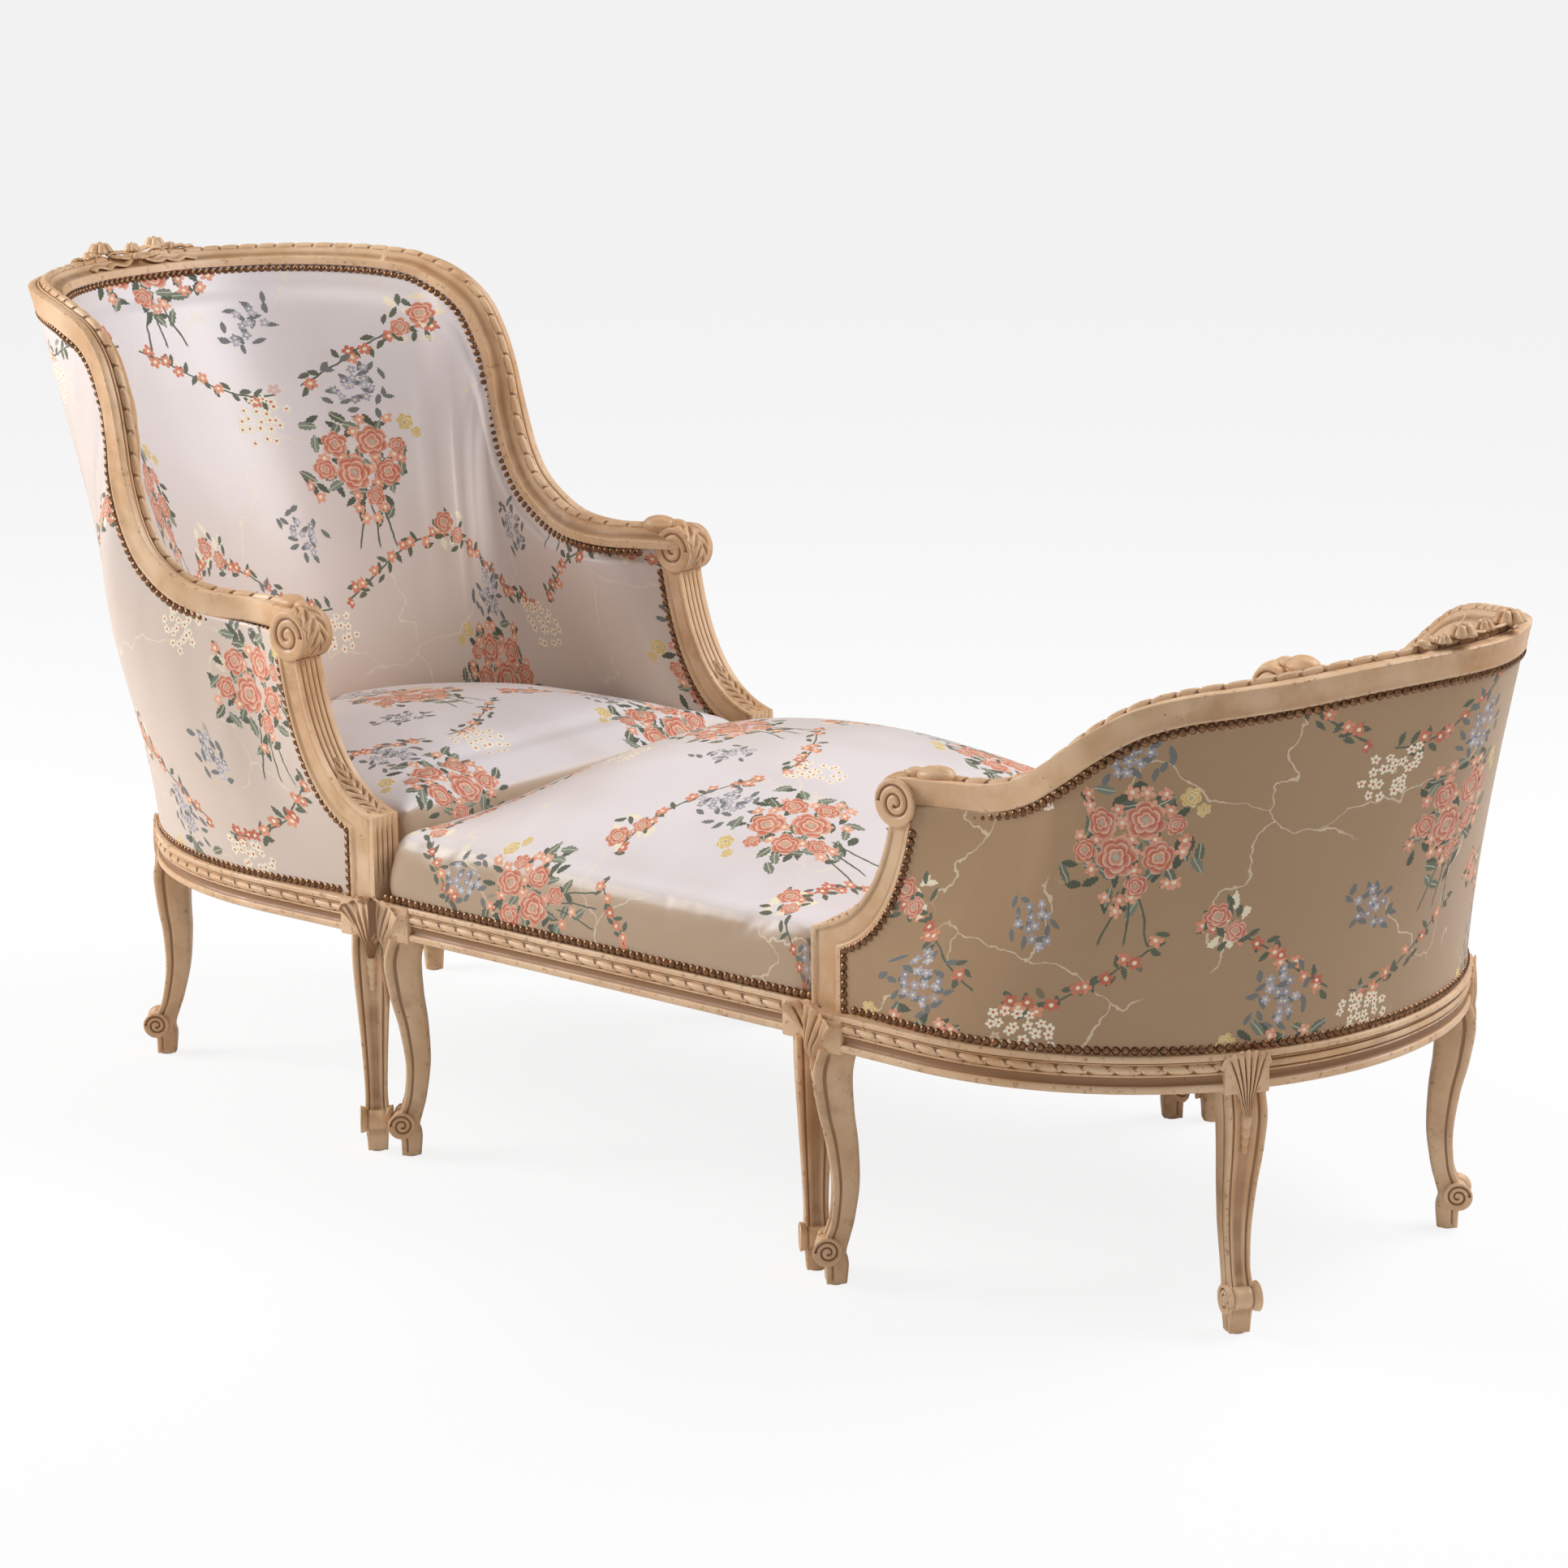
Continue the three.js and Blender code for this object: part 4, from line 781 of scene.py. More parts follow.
def arm_piece(tub_name, side, sizes):
    """One arm: the carved rail from its scroll to the joint with the crest."""
    tub = TUBS[tub_name]
    last = last_knot(tub)
    word = "left" if side < 0 else "right"
    first, end = (0, tub["joint"]) if side < 0 else (last - tub["joint"], last)
    rail = tube("rail", show_wood_points(tub, first, end, sizes))
    u0, z0, radius = tub["volute"]
    axis_v = side * (tub["console"] - CONSOLE_WIDTH / 2)
    centre = to_world(tub, [u0, axis_v, z0])
    forward = to_world(tub, [0, 0, 0]) - to_world(tub, [1, 0, 0])
    sideways = np.array([0.0, 1.0, 0.0])
    scroll = grid_piece("scroll", disc_surface(centre, forward, sideways, radius, VOLUTE_WIDTH),
                        closed=(True, False), capped=True)
    turn = np.radians(np.linspace(118, -58, 60))
    base = centre + forward * (radius * np.cos(turn))[:, None] + UP * (radius * np.sin(turn))[:, None]
    high = forward * np.cos(turn)[:, None] + UP * np.sin(turn)[:, None]
    wide = np.repeat(sideways[None], len(turn), 0)
    leaf = leaf_on(base, wide, high, VOLUTE_WIDTH * 0.46, ARM_LEAF_RELIEF, 6)
    ring = wood_rings(tub, [0.55 if side < 0 else last - 0.55])
    seat = to_world(tub, at_ring(ring, [-0.021], [0.0005]))[0]
    along = unit(way_to_world(tub, ring["along"])[0])
    across = np.cross(UP, along)
    bud = tube("bud", bud_surface(seat, along, across, UP, ARM_BUD))
    end = seat + along * side * ARM_BUD_TIP[0]
    tip = tube("tip", bud_surface(end, along, across, UP, ARM_BUD_TIP, ribs=5))
    return joined(f"{tub_name}_{word}_arm_carved", [rail, scroll, leaf, bud, tip])


def crest_station(tub, along, across, up):
    """Points and directions on the middle of a crest, at lengths along, across and above it."""
    middle = last_knot(tub) / 2
    rings = wood_rings(tub, np.linspace(middle - 2, middle + 2, 401))
    length = rings["length"] - rings["length"][200]
    t = np.interp(np.atleast_1d(along), length, rings["t"])
    ring = wood_rings(tub, t)
    return at_ring(ring, np.broadcast_to(across, t.shape), np.broadcast_to(up, t.shape)), ring


def ribbon_band(tub, track, width):
    """A carved ribbon along a track of lengths along, across and above the crest, in millimetres."""
    count = 60
    track = curve_through(millimetres(track), np.linspace(0, len(track) - 1, count))
    centre, ring = crest_station(tub, track[:, 0], track[:, 1], track[:, 2])
    ahead = unit(np.gradient(centre, axis=0))
    high = unit(ring["up"] * 0.85 - ring["out"] * 0.5)
    wide = unit(np.cross(ahead, high))
    half = width / 2000
    across = np.linspace(-1, 1, 9)
    lift = 0.0012 * (1 - across ** 2) + 0.0009 * np.abs(across) ** 6
    wave = 0.0008 * np.sin(np.linspace(0, 6 * np.pi, count))
    points = (centre[:, None] + wide[:, None] * (across * half)[None, :, None]
              + high[:, None] * (lift[None, :] + wave[:, None])[..., None])
    return thickened(grid_piece("ribbon", to_world(tub, points)), RIBBON_THICKNESS)


def carved_flower(tub, along, across, up, radius, petals, height):
    """A flower of several petals, domed and turned a little outwards."""
    centre, ring = crest_station(tub, along, across, up)
    centre, a, b = centre[0], ring["along"][0], unit(ring["out"][0] - 0.2 * ring["up"][0])
    high = unit(np.cross(b, a)) * (1 if np.cross(b, a) @ ring["up"][0] > 0 else -1)
    high = unit(high - 0.45 * ring["out"][0])
    b = unit(np.cross(high, a))
    turn = np.linspace(0, 2 * np.pi, 73)
    share = np.linspace(0.01, 1, 20)
    lobe = np.abs(np.cos(petals * turn / 2))
    r = share[:, None] * radius * (0.72 + 0.28 * lobe[None, :] ** 0.6 * share[:, None])
    dome = (1 - share[:, None] ** 2.4) ** 0.7
    cup = 0.16 * np.exp(-((share[:, None] - 0.66) / 0.2) ** 2) * lobe[None, :]
    button = 0.12 * np.exp(-(share[:, None] / 0.26) ** 4)
    dip = -0.18 * np.exp(-((share[:, None] - 0.33) / 0.08) ** 2)
    lift = height * (0.78 * dome + cup + button + dip - 0.12 * share[:, None] ** 6)
    points = (centre + a * (r * np.cos(turn))[..., None] + b * (r * np.sin(turn))[..., None]
              + high * lift[..., None])
    return thickened(grid_piece("flower", to_world(tub, points), closed=(False, True)), FLOWER_THICKNESS)


def crest_leaf(tub, way, place, turn):
    """A small leaf beside the ribbon ends, leaning to one side or the other."""
    stations = np.linspace(0, 1, 16)
    along = way * (place + stations * 22) / 1000
    across = (-22 + turn * 9 * stations) / 1000
    centre, ring = crest_station(tub, along, across, 0.0032 + 0.003 * np.sin(np.pi * stations))
    ahead = unit(np.gradient(centre, axis=0))
    return leaf_on(to_world(tub, centre), way_to_world(tub, unit(np.cross(ahead, ring["up"]))),
                   way_to_world(tub, ring["up"]), 0.0075, 0.0042, 4)


# Half of the bow and one ribbon end as lengths along, across and above the crest, in millimetres
BOW_LOOP = [(0, -25, 3), (16, -17, 8), (34, -16, 11), (44, -24, 8), (38, -33, 0), (20, -33, -3), (0, -27, 2)]
RIBBON_END = [(0, -27, 3), (14, -34, -6), (34, -38, -13), (52, -35, -10), (68, -39, -15), (88, -35, -10),
              (104, -38, -14)]
# Flowers as places along, across and above the crest, radius, petals and height, in millimetres
CREST_FLOWERS = [(-52, -13, 12, 16.5, 5, 14.5), (46, -13, 12, 19, 6, 15.5), (-4, -22, 8, 12, 5, 12),
                 (-76, -16, 6, 10, 5, 10), (74, -16, 6, 11, 5, 10), (0, -38, -6, 11, 5, 9)]


def crest_piece(tub_name, sizes):
    """The crest rail with its bow, ribbon ends, leaves and flowers."""
    tub = TUBS[tub_name]
    parts = [tube("rail", show_wood_points(tub, tub["joint"], last_knot(tub) - tub["joint"], sizes))]
    for way in (-1, 1):
        for track, width in ((BOW_LOOP, 9), (RIBBON_END, 8)):
            parts.append(ribbon_band(tub, np.array(track) * [way, 1, 1], width))
        for place, turn in ((30, -1), (52, 1), (74, -1), (94, 1)):
            parts.append(crest_leaf(tub, way, place, turn))
    for along, across, up, radius, petals, height in CREST_FLOWERS:
        parts.append(carved_flower(tub, *millimetres((along, across, up, radius)), petals, height / 1000))
    return joined(f"{tub_name}_crest_carved", parts)


def console_section():
    """Loop round an arm support: across it, share from its back to its front, and carving in or out."""
    half = CONSOLE_WIDTH / 2
    depth = np.linspace(0, 1, 19)
    sunk = smooth(depth, 0.12, 0.2) * (1 - smooth(depth, 0.8, 0.88))
    line = np.exp(-((depth - 0.16) / 0.02) ** 2) + np.exp(-((depth - 0.84) / 0.02) ** 2)
    side = half - PANEL_DEPTH * sunk - PANEL_LINE * line
    across = np.linspace(-1, 1, 49)
    fluted = np.abs(across) < FLUTED_SHARE
    flute = np.abs(np.cos(np.pi * 4.5 * across / (2 * FLUTED_SHARE))) ** 0.7 * fluted
    front = np.column_stack([across * half, np.ones(49), -FLUTE_DEPTH * (1 - flute) * fluted])
    plain = np.zeros(19)
    return np.vstack([np.column_stack([side, depth, plain]), front[::-1],
                      np.column_stack([-side, depth, plain])[::-1],
                      [(-half / 2, 0, 0), (half / 2, 0, 0), (half, 0, 0)]])


def console_leaf(tub, side):
    """The leaf low on the front of an arm support."""
    line, _ = console_edges(tub, np.linspace(0.04, 0.52, 44))
    middle = side * (tub["console"] - CONSOLE_WIDTH / 2)
    base = np.column_stack([line[:, 0], np.full(len(line), middle), line[:, 1]])
    wide = np.repeat([[0.0, 1.0, 0.0]], len(base), 0)
    high = np.cross(unit(np.gradient(base, axis=0)), wide)
    high = high * np.where(high[:, :1] < 0, 1, -1)
    return leaf_on(to_world(tub, base), way_to_world(tub, wide), way_to_world(tub, high),
                   CONSOLE_WIDTH * 0.45, CONSOLE_LEAF_RELIEF, 7)


def console_piece(tub_name, side):
    """One arm support: a block below, then a curved and fluted scroll up to the arm."""
    tub = TUBS[tub_name]
    word = "left" if side < 0 else "right"
    rise = tub["block_top"] - LEDGE
    low = np.linspace(0, 1, 12)[:, None]
    front_low = np.array([[0.0, LEDGE]]) + low * np.array([[0.0, rise]])
    back_low = np.array([[tub["block_depth"], LEDGE]]) + low * np.array([[0.0, rise - tub["block_drop"]]])
    front_high, back_high = console_edges(tub, np.linspace(0, 1, 60)[1:])
    front, back = np.vstack([front_low, front_high]), np.vstack([back_low, back_high])
    run = length_along(front)
    plain = (1 - smooth(run, rise - 0.09, rise - 0.055) + smooth(run, rise - 0.006, rise - 0.002)
             - smooth(run, rise + 0.006, rise + 0.016))
    carved = 1 - np.clip(plain, 0, 1)
    across, share, push = console_section().T
    place = (back[:, None] + (front - back)[:, None] * share[:, None]
             + unit(front - back)[:, None] * (push * carved[:, None])[..., None])
    middle = side * (tub["console"] - CONSOLE_WIDTH / 2)
    points = np.stack([place[..., 0], np.broadcast_to(middle + across, place.shape[:2]), place[..., 1]], -1)
    body = tube("body", to_world(tub, points), angle=35)
    return joined(f"{tub_name}_{word}_arm_support_carved", [body, console_leaf(tub, side)])


def rail_rings(tub, first, last, step):
    """Rings along the outer top line of a curved seat rail, between two angles of the plan."""
    fine = np.linspace(first, last, 800)
    length = length_along(plan_point(tub, fine))
    angle = np.interp(np.linspace(0, length[-1], max(2, round(length[-1] / step)) + 1), length, fine)
    origin = plan_point(tub, angle)
    along = unit(plan_point(tub, angle + 1e-4) - plan_point(tub, angle - 1e-4))
    out = unit(np.cross(along, UP))
    origin[:, 2] = RAIL_TOP - RAIL_HEIGHT
    return dict(origin=origin, out=out, up=np.repeat(UP[None], len(out), 0),
                length=np.interp(angle, fine, length))


def seat_rail_piece(tub_name, word, first, last, sizes, carved):
    tub = TUBS[tub_name]
    rings = rail_rings(tub, first, last, 0.0020 if carved else 0.006)
    points = moulded(rings, RAIL_LOWER, RAIL_RIBBON, RAIL_UPPER, sizes, carved)
    return tube(f"{tub_name}_{word}_seat_rail_carved", to_world(tub, points))


# Cabriole leg: height from the floor, outward offset in sways and width in leg widths
LEG_STATIONS = [(0, 0.35, 0.56), (0.07, 0.3, 0.62), (0.13, 0.75, 0.74), (0.2, 0.2, 0.66), (0.28, -0.3, 0.64),
                (0.42, -0.6, 0.72), (0.58, -0.3, 0.84), (0.74, 0.35, 0.98), (0.88, 0.65, 1.08), (1, 0.1, 1.06)]
# Half of a leg's section in leg widths, from the middle of its channelled face round to its back
LEG_HALF = [(0.0, 0.315), (0.10, 0.32), (0.20, 0.345), (0.235, 0.37), (0.265, 0.37), (0.29, 0.352),
            (0.325, 0.37), (0.355, 0.42), (0.39, 0.462), (0.43, 0.478), (0.47, 0.462), (0.495, 0.41),
            (0.5, 0.34), (0.494, 0.27), (0.466, 0.235), (0.466, 0.16), (0.494, 0.125), (0.5, 0.05),
            (0.5, -0.15), (0.485, -0.34), (0.43, -0.45), (0.3, -0.49), (0.0, -0.5)]
# Husks below the shell: height from the floor and size
HUSKS = ((0.249, 0.0068), (0.236, 0.0058), (0.225, 0.0048), (0.2155, 0.0040))


class Leg:
    """The run of one cabriole leg, in which its stalk, foot, shell and husks are placed."""

    def __init__(self, base, direction, splay, turned):
        self.base, self.direction = np.asarray(base, float), np.asarray(direction, float)
        self.across = np.cross(UP, self.direction)
        self.splay, self.turned = splay, turned
        stations = curve_through(LEG_STATIONS, np.linspace(0, len(LEG_STATIONS) - 1, 73))
        self.share = stations[:, 0]
        self.rise = self.share * (RAIL_TOP - RAIL_HEIGHT)
        self.width = stations[:, 2] * LEG_WIDTH
        self.shift = stations[:, 1] * LEG_SWAY + splay * (1 - smooth(self.share, 0, 1))

    def at(self, out, side, height):
        """Points at lengths outwards, across and up from the middle of the leg's top."""
        out, side, height = (np.asarray(value)[..., None] for value in (out, side, height))
        return self.base + self.direction * out + self.across * side + UP * height

    def stalk(self):
        section = np.array(LEG_HALF + [(-x, y) for x, y in LEG_HALF[-2::-1]])
        x, y = section.T
        channel = (y > 0.2) * np.where(np.abs(x) < 0.42, 0.46 - y, 0)
        y = y + (1 - smooth(self.share, 0.13, 0.17))[:, None] * channel
        width = self.width[:, None]
        height = np.broadcast_to((0.002 + 0.993 * self.rise)[:, None], y.shape)
        return tube("stalk", self.at(self.shift[:, None] + y * width, x * width, height), angle=50)

    def foot(self):
        """The scroll of the foot and the glide below it."""
        middle = self.at(self.splay + LEG_SWAY + 0.003, 0.0, FOOT_HEIGHT)
        scroll = disc_surface(middle, self.direction, self.across, FOOT_RADIUS, FOOT_WIDTH, steps=64, flutes=3,
                              waist=0.24)
        scroll = grid_piece("scroll", scroll, closed=(True, False), capped=True)
        bpy.ops.object.select_all(action="DESELECT")
        bpy.ops.mesh.primitive_cylinder_add(vertices=28, radius=GLIDE_RADIUS, depth=GLIDE_HEIGHT,
                                            location=self.at(self.splay + 0.0042, 0.0, GLIDE_HEIGHT / 2))
        return [scroll, bpy.context.object]

    def block(self):
        block = leg_block()
        block.data.transform(Matrix.Translation(Vector(self.base)) @ Matrix.Rotation(self.turned, 4, "Z"))
        return block

    def shell(self):
        """Ribs fanning up from a point on the knee to a face or to a corner of the block."""
        square = np.array([math.cos(self.turned), math.sin(self.turned), 0])
        diagonal = abs(abs(float(self.direction @ square)) - math.sqrt(0.5)) < 0.2
        fan, climb = np.linspace(-1, 1, 57), np.linspace(0, 1, 34)[:, None]
        height = SHELL_FOOT + SHELL_HEIGHT * climb
        c = fan * (0.004 + (0.034 if diagonal else 0.025) * climb ** 1.3)
        knee = np.interp(height, self.rise, self.shift) + np.interp(height, self.rise, self.width) * 0.47
        knee = knee - 0.001 - 6.0 * c ** 2
        if diagonal:
            ridge = BLOCK / 2 * math.sqrt(2) + 0.001 - np.sqrt(c ** 2 + 4e-6)
        else:
            ridge = BLOCK / 2 - 2.0 * c ** 2
        lean = smooth(height, 0.262, 0.284)
        out = np.maximum(knee, ridge * lean + knee * (1 - lean))
        rib = np.abs(np.sin(np.pi * SHELL_RIBS * (fan + 1) / 2))
        z = height + (0.006 * rib ** 0.6 - 0.012 * fan ** 2) * climb ** 4
        relief = (0.0010 + 0.0040 * rib ** 0.7) * np.sin(np.pi * np.clip(climb, 0.06, 0.90)) ** 0.4
        front = self.at(out + relief * (1 - np.abs(fan) ** 8), c, z)
        rear = self.at(out - SHELL_THICKNESS, 0.96 * c, z)
        return tube("shell", np.concatenate([front, rear[:, ::-1], front[:, :1]], 1), angle=50)

    def husks(self):
        for height, size in HUSKS:
            out = np.interp(height, self.rise, self.shift) + np.interp(height, self.rise, self.width) * 0.34
            husk = bud_surface(self.at(out, 0.0, height), UP, self.across, self.direction,
                               (size * 3.1, size * 1.9, size * 0.9), 5)
            yield tube("husk", husk)


def leg_piece(name, base, direction, splay, turned, cuts):
    """A cabriole leg with its scrolled foot, knee shell, husks and block, cut flat by some planes."""
    leg = Leg(base, direction, splay, turned)
    parts = [leg.stalk(), *leg.foot(), leg.shell(), *leg.husks()]
    block = leg.block()
    # Each part is cut a little further in than the one before, so that no two cuts share a plane
    for point, normal in cuts:
        parts = [clipped(part, point + normal * CUT_STEP * place, normal)
                 for place, part in enumerate(parts, 1)]
    return mark_hollows(joined(name, [block, *(part for part in parts if len(part.data.vertices))]))


# Upholstery

def front_edge(tub, low):
    """Front edge of a cover from its top down, as u and z: under the scroll, then behind the console."""
    u0, z0, radius = tub["volute"]
    turn = np.linspace(0.02, -0.79, 8)
    under = np.stack([u0 + (radius - 0.002) * np.cos(turn), z0 + (radius - 0.002) * np.sin(turn)], -1)
    _, back = console_edges(tub, np.linspace(0.97, 0, 40))
    block = np.stack([np.full(8, tub["block_depth"]),
                      np.linspace(tub["block_top"] - tub["block_drop"], low, 9)[1:]], -1)
    return np.vstack([under, back, block])


def tub_sheet(tub, hang, drop, foot_inset, low, across, reach, rows, count):
    """Points of cloth between the show wood and the seat: rows from the top down, columns round the tub."""
    u0, _, radius = tub["volute"]
    last = last_knot(tub)
    fine = np.linspace(0, last, 6001)
    line = at_ring(wood_rings(tub, fine), hang, drop)
    start = fine[np.argmax(line[:, 0] > u0 + radius - 0.002)]
    fine = np.linspace(start, last - start, 6001)
    line = at_ring(wood_rings(tub, fine), hang, drop)
    run = length_along(line)
    rings = wood_rings(tub, np.interp(np.linspace(0, run[-1], count + 1), run, fine))
    top = at_ring(rings, hang, drop)
    by_path = path_angle(tub, top - rings["up"] * 0.10)
    limit = plan_angle_at(tub, tub["block_depth"] - 0.004, foot_inset)
    angles = np.linspace(-limit, limit, 3000)
    length = length_along(plan_point(tub, angles, foot_inset))
    by_length = np.interp(np.linspace(0, length[-1], count + 1), length, angles)
    ends = np.linspace(0, 1, count + 1)
    blend = np.maximum(smooth(ends, 0.2, 0.0), smooth(ends, 0.8, 1.0))
    foot_angle = np.clip(0.5 * by_path + 0.5 * by_length, -limit, limit)
    foot_angle = np.maximum.accumulate(foot_angle * (1 - blend) + by_length * blend)
    foot = plan_point(tub, foot_angle, foot_inset)
    foot[:, 2] = low
    s = np.linspace(0, 1, rows + 1)[:, None, None]
    chord = foot - top
    span = np.linalg.norm(chord, axis=1, keepdims=True)
    ahead = plan_point(tub, foot_angle + 1e-4, foot_inset) - plan_point(tub, foot_angle - 1e-4, foot_inset)
    wall = np.cross(unit(ahead), UP)
    fall = unit(chord - rings["out"] * (chord * rings["out"]).sum(1, keepdims=True))
    leave = top + unit(fall - 0.6 * rings["up"]) * 0.33 * span
    arrive = foot - unit(chord - wall * (chord * wall).sum(1, keepdims=True)) * 0.33 * span
    points = (1 - s) ** 3 * top + 3 * s * (1 - s) ** 2 * leave + 3 * s * s * (1 - s) * arrive + s ** 3 * foot
    edge = front_edge(tub, low)
    along = length_along(edge)
    share = np.linspace(0, 1, rows + 1) * along[-1]
    edge = np.stack([np.interp(share, along, edge[:, k]) for k in (0, 1)], -1)
    around = length_along(points[rows // 2])
    for side, far in ((-1, around), (1, around[-1] - around)):
        end = 0 if side < 0 else count
        target = np.stack([edge[:, 0] - 0.0015, np.full(rows + 1, side * across), edge[:, 1]], -1)
        gap = target - points[:, end]
        points = points + gap[:, None] * (1 - smooth(far, 0, reach))[None, :, None]
    return points, s, ends


def outward_of(tub, points, passes=30):
    """Unit directions square to a sheet and evened out, pointing away from the middle of the tub."""
    away = unit(np.cross(np.gradient(points, axis=1), np.gradient(points, axis=0)))
    centre = np.array([tub["centre"], 0, 0])
    away = away * np.sign(((points - centre) * away * [1, 1, 0]).sum(-1).mean())
    for _ in range(passes):
        wide = np.pad(away, ((1, 1), (1, 1), (0, 0)), mode="edge")
        away = (wide[:-2, 1:-1] + wide[2:, 1:-1] + wide[1:-1, :-2] + wide[1:-1, 2:]) / 4
    return unit(away)


def sheet_uv(points, lift=0.0):
    """Lays the brocade on a sheet: length round its middle row, and height."""
    around = length_along(points[points.shape[0] // 2])
    return np.stack([np.broadcast_to(around - around[-1] / 2, points.shape[:2]), points[..., 2] + lift], -1)


def outside_cover_points(tub, sizes):
    points, s, ends = tub_sheet(tub, -0.003, -SHOW_HEIGHT + 0.0008, COVER_INSET, LEDGE - 0.003,
                                tub["console"] - 0.0018, 0.20, 80, 280)
    pillow = (4 * s * (1 - s)) * np.clip(16 * ends * (1 - ends), 0, 1)[None, :, None]
    return points + outward_of(tub, points) * pillow * (sizes.cover_swell + tub["belly"])


def outside_cover_piece(tub_name, sizes):
    """The cover outside the tub, from the underside of the show wood to the seat rail."""
    tub = TUBS[tub_name]
    points = outside_cover_points(tub, sizes)
    piece = grid_piece(f"{tub_name}_outside_brocade", to_world(tub, points), uv=sheet_uv(points), angle=70)
    return thickened(piece, COVER_THICKNESS)


def inside_back_points(tub, sizes):
    """Points of the padded inside: from the inner edge of the show wood down to behind the seat."""
    points, s, ends = tub_sheet(tub, -SHOW_WIDTH + 0.002, -SHOW_HEIGHT + 0.0008, PAD_INSET_SEAT,
                                tub["edge"] - 0.050, tub["console"] - CONSOLE_WIDTH + 0.002, 0.16, 100, 320)
    border = 0.2 * smooth(s, 0, 0.03) + 0.8 * smooth(s, 0.045, 0.10)
    rise = border * np.clip((1 - s) * 4 + 0.35, 0, 1)
    rim = smooth(np.minimum(ends, 1 - ends), 0.0, 0.035)[None, :, None]
    pillow = np.sin(rise * np.pi / 2) * rim
    points = points - outward_of(tub, points) * pillow * sizes.padding
    return soft_waves(points, outward_of(tub, points) * pillow, 3, 0.003, 0.35)


def inside_back_piece(tub_name, sizes):
    """The padded inside of the tub, one stuffed cloth from arm to arm."""
    tub = TUBS[tub_name]
    points = inside_back_points(tub, sizes)
    uv = sheet_uv(points, PATTERN_LIFT)
    piece = grid_piece(f"{tub_name}_inside_brocade", to_world(tub, points), uv=uv, angle=70)
    return thickened(piece, PADDING_THICKNESS, offset=1)


def dome_points(rim, centre, low, edge, crown, shoulder, flat):
    """Points of a stuffed seat over an outline: wall, round shoulder and dome, closed at the middle."""
    rows = []
    for share in np.linspace(0, 1, 10):
        rows.append((-0.003 * math.sin(math.pi * share), low + (edge - shoulder - low) * share))
    for turn in np.linspace(0, math.pi / 2, 14)[1:]:
        rows.append((shoulder * (1 - math.cos(turn)), edge - shoulder + shoulder * math.sin(turn)))
    offset = rim - centre
    reach = np.linalg.norm(offset, axis=1, keepdims=True)
    points = [np.column_stack([centre + offset * (1 - inset / reach), np.full(len(rim), z)])
              for inset, z in rows]
    shoulder_edge = points[-1][:, :2] - centre
    turns = np.arctan2(shoulder_edge[:, 1], shoulder_edge[:, 0])
    order = np.argsort(turns)
    lengths = np.linalg.norm(shoulder_edge, axis=1)

    def height(place):
        angle = np.arctan2(place[:, 1], place[:, 0])
        outer = np.interp(angle, turns[order], lengths[order], period=2 * math.pi)
        return edge + (crown - edge) * (1 - np.minimum(np.linalg.norm(place, axis=1) / outer, 1) ** flat)

    # Each height is the mean of its surroundings, so no ridge runs from the middle to a corner
    around = [far * np.array([math.cos(turn), math.sin(turn)])
              for turn in np.arange(12) * math.pi / 6 for far in (0.15, 0.45, 0.75, 1.0)]
    for share in np.maximum(np.linspace(1, 0, DOME_ROWS + 1)[1:], 0.004):
        reach = 0.11 * (1 - share) ** 0.8
        z = np.mean([height(shoulder_edge * share + reach * way) for way in around], axis=0)
        points.append(np.column_stack([centre + shoulder_edge * share, z]))
    return np.array(points)


def soft_waves(points, normal_way, seed, depth, size):
    """Lifts and lowers a padded surface by a few broad, soft waves."""
    rng = np.random.default_rng(seed)
    lift = np.zeros(points.shape[:-1])
    for _ in range(14):
        turn = rng.uniform(0, 2 * np.pi)
        wave = rng.uniform(0.7, 1.6) * 2 * np.pi / size
        phase = rng.uniform(0, 2 * np.pi)
        ahead = points @ np.array([math.cos(turn), math.sin(turn), rng.uniform(-0.5, 0.5)])
        lift += np.sin(ahead * wave + phase)
    return points + normal_way * (lift / 14 * depth)[..., None]


def seat_uv(piece, low):
    """Lays the cloth over a seat from above: the plan, let down over the walls by their height."""
    mesh = piece.data
    layer = mesh.uv_layers[0] if mesh.uv_layers else mesh.uv_layers.new(name="UVMap")
    place, normal = vertex_table(mesh, "co"), vertex_table(mesh, "normal")
    flat = unit(normal[:, :2] + 1e-9)
    sheer = np.clip(np.linalg.norm(normal[:, :2], axis=1), 0, 1)[:, None]
    drop = np.maximum(low - place[:, 2:3], 0)
    laid = place[:, :2] + flat * drop * sheer
    uv = np.stack([laid[:, 1], -laid[:, 0]], -1)
    layer.data.foreach_set("uv", uv[corner_vertices(mesh)].ravel())


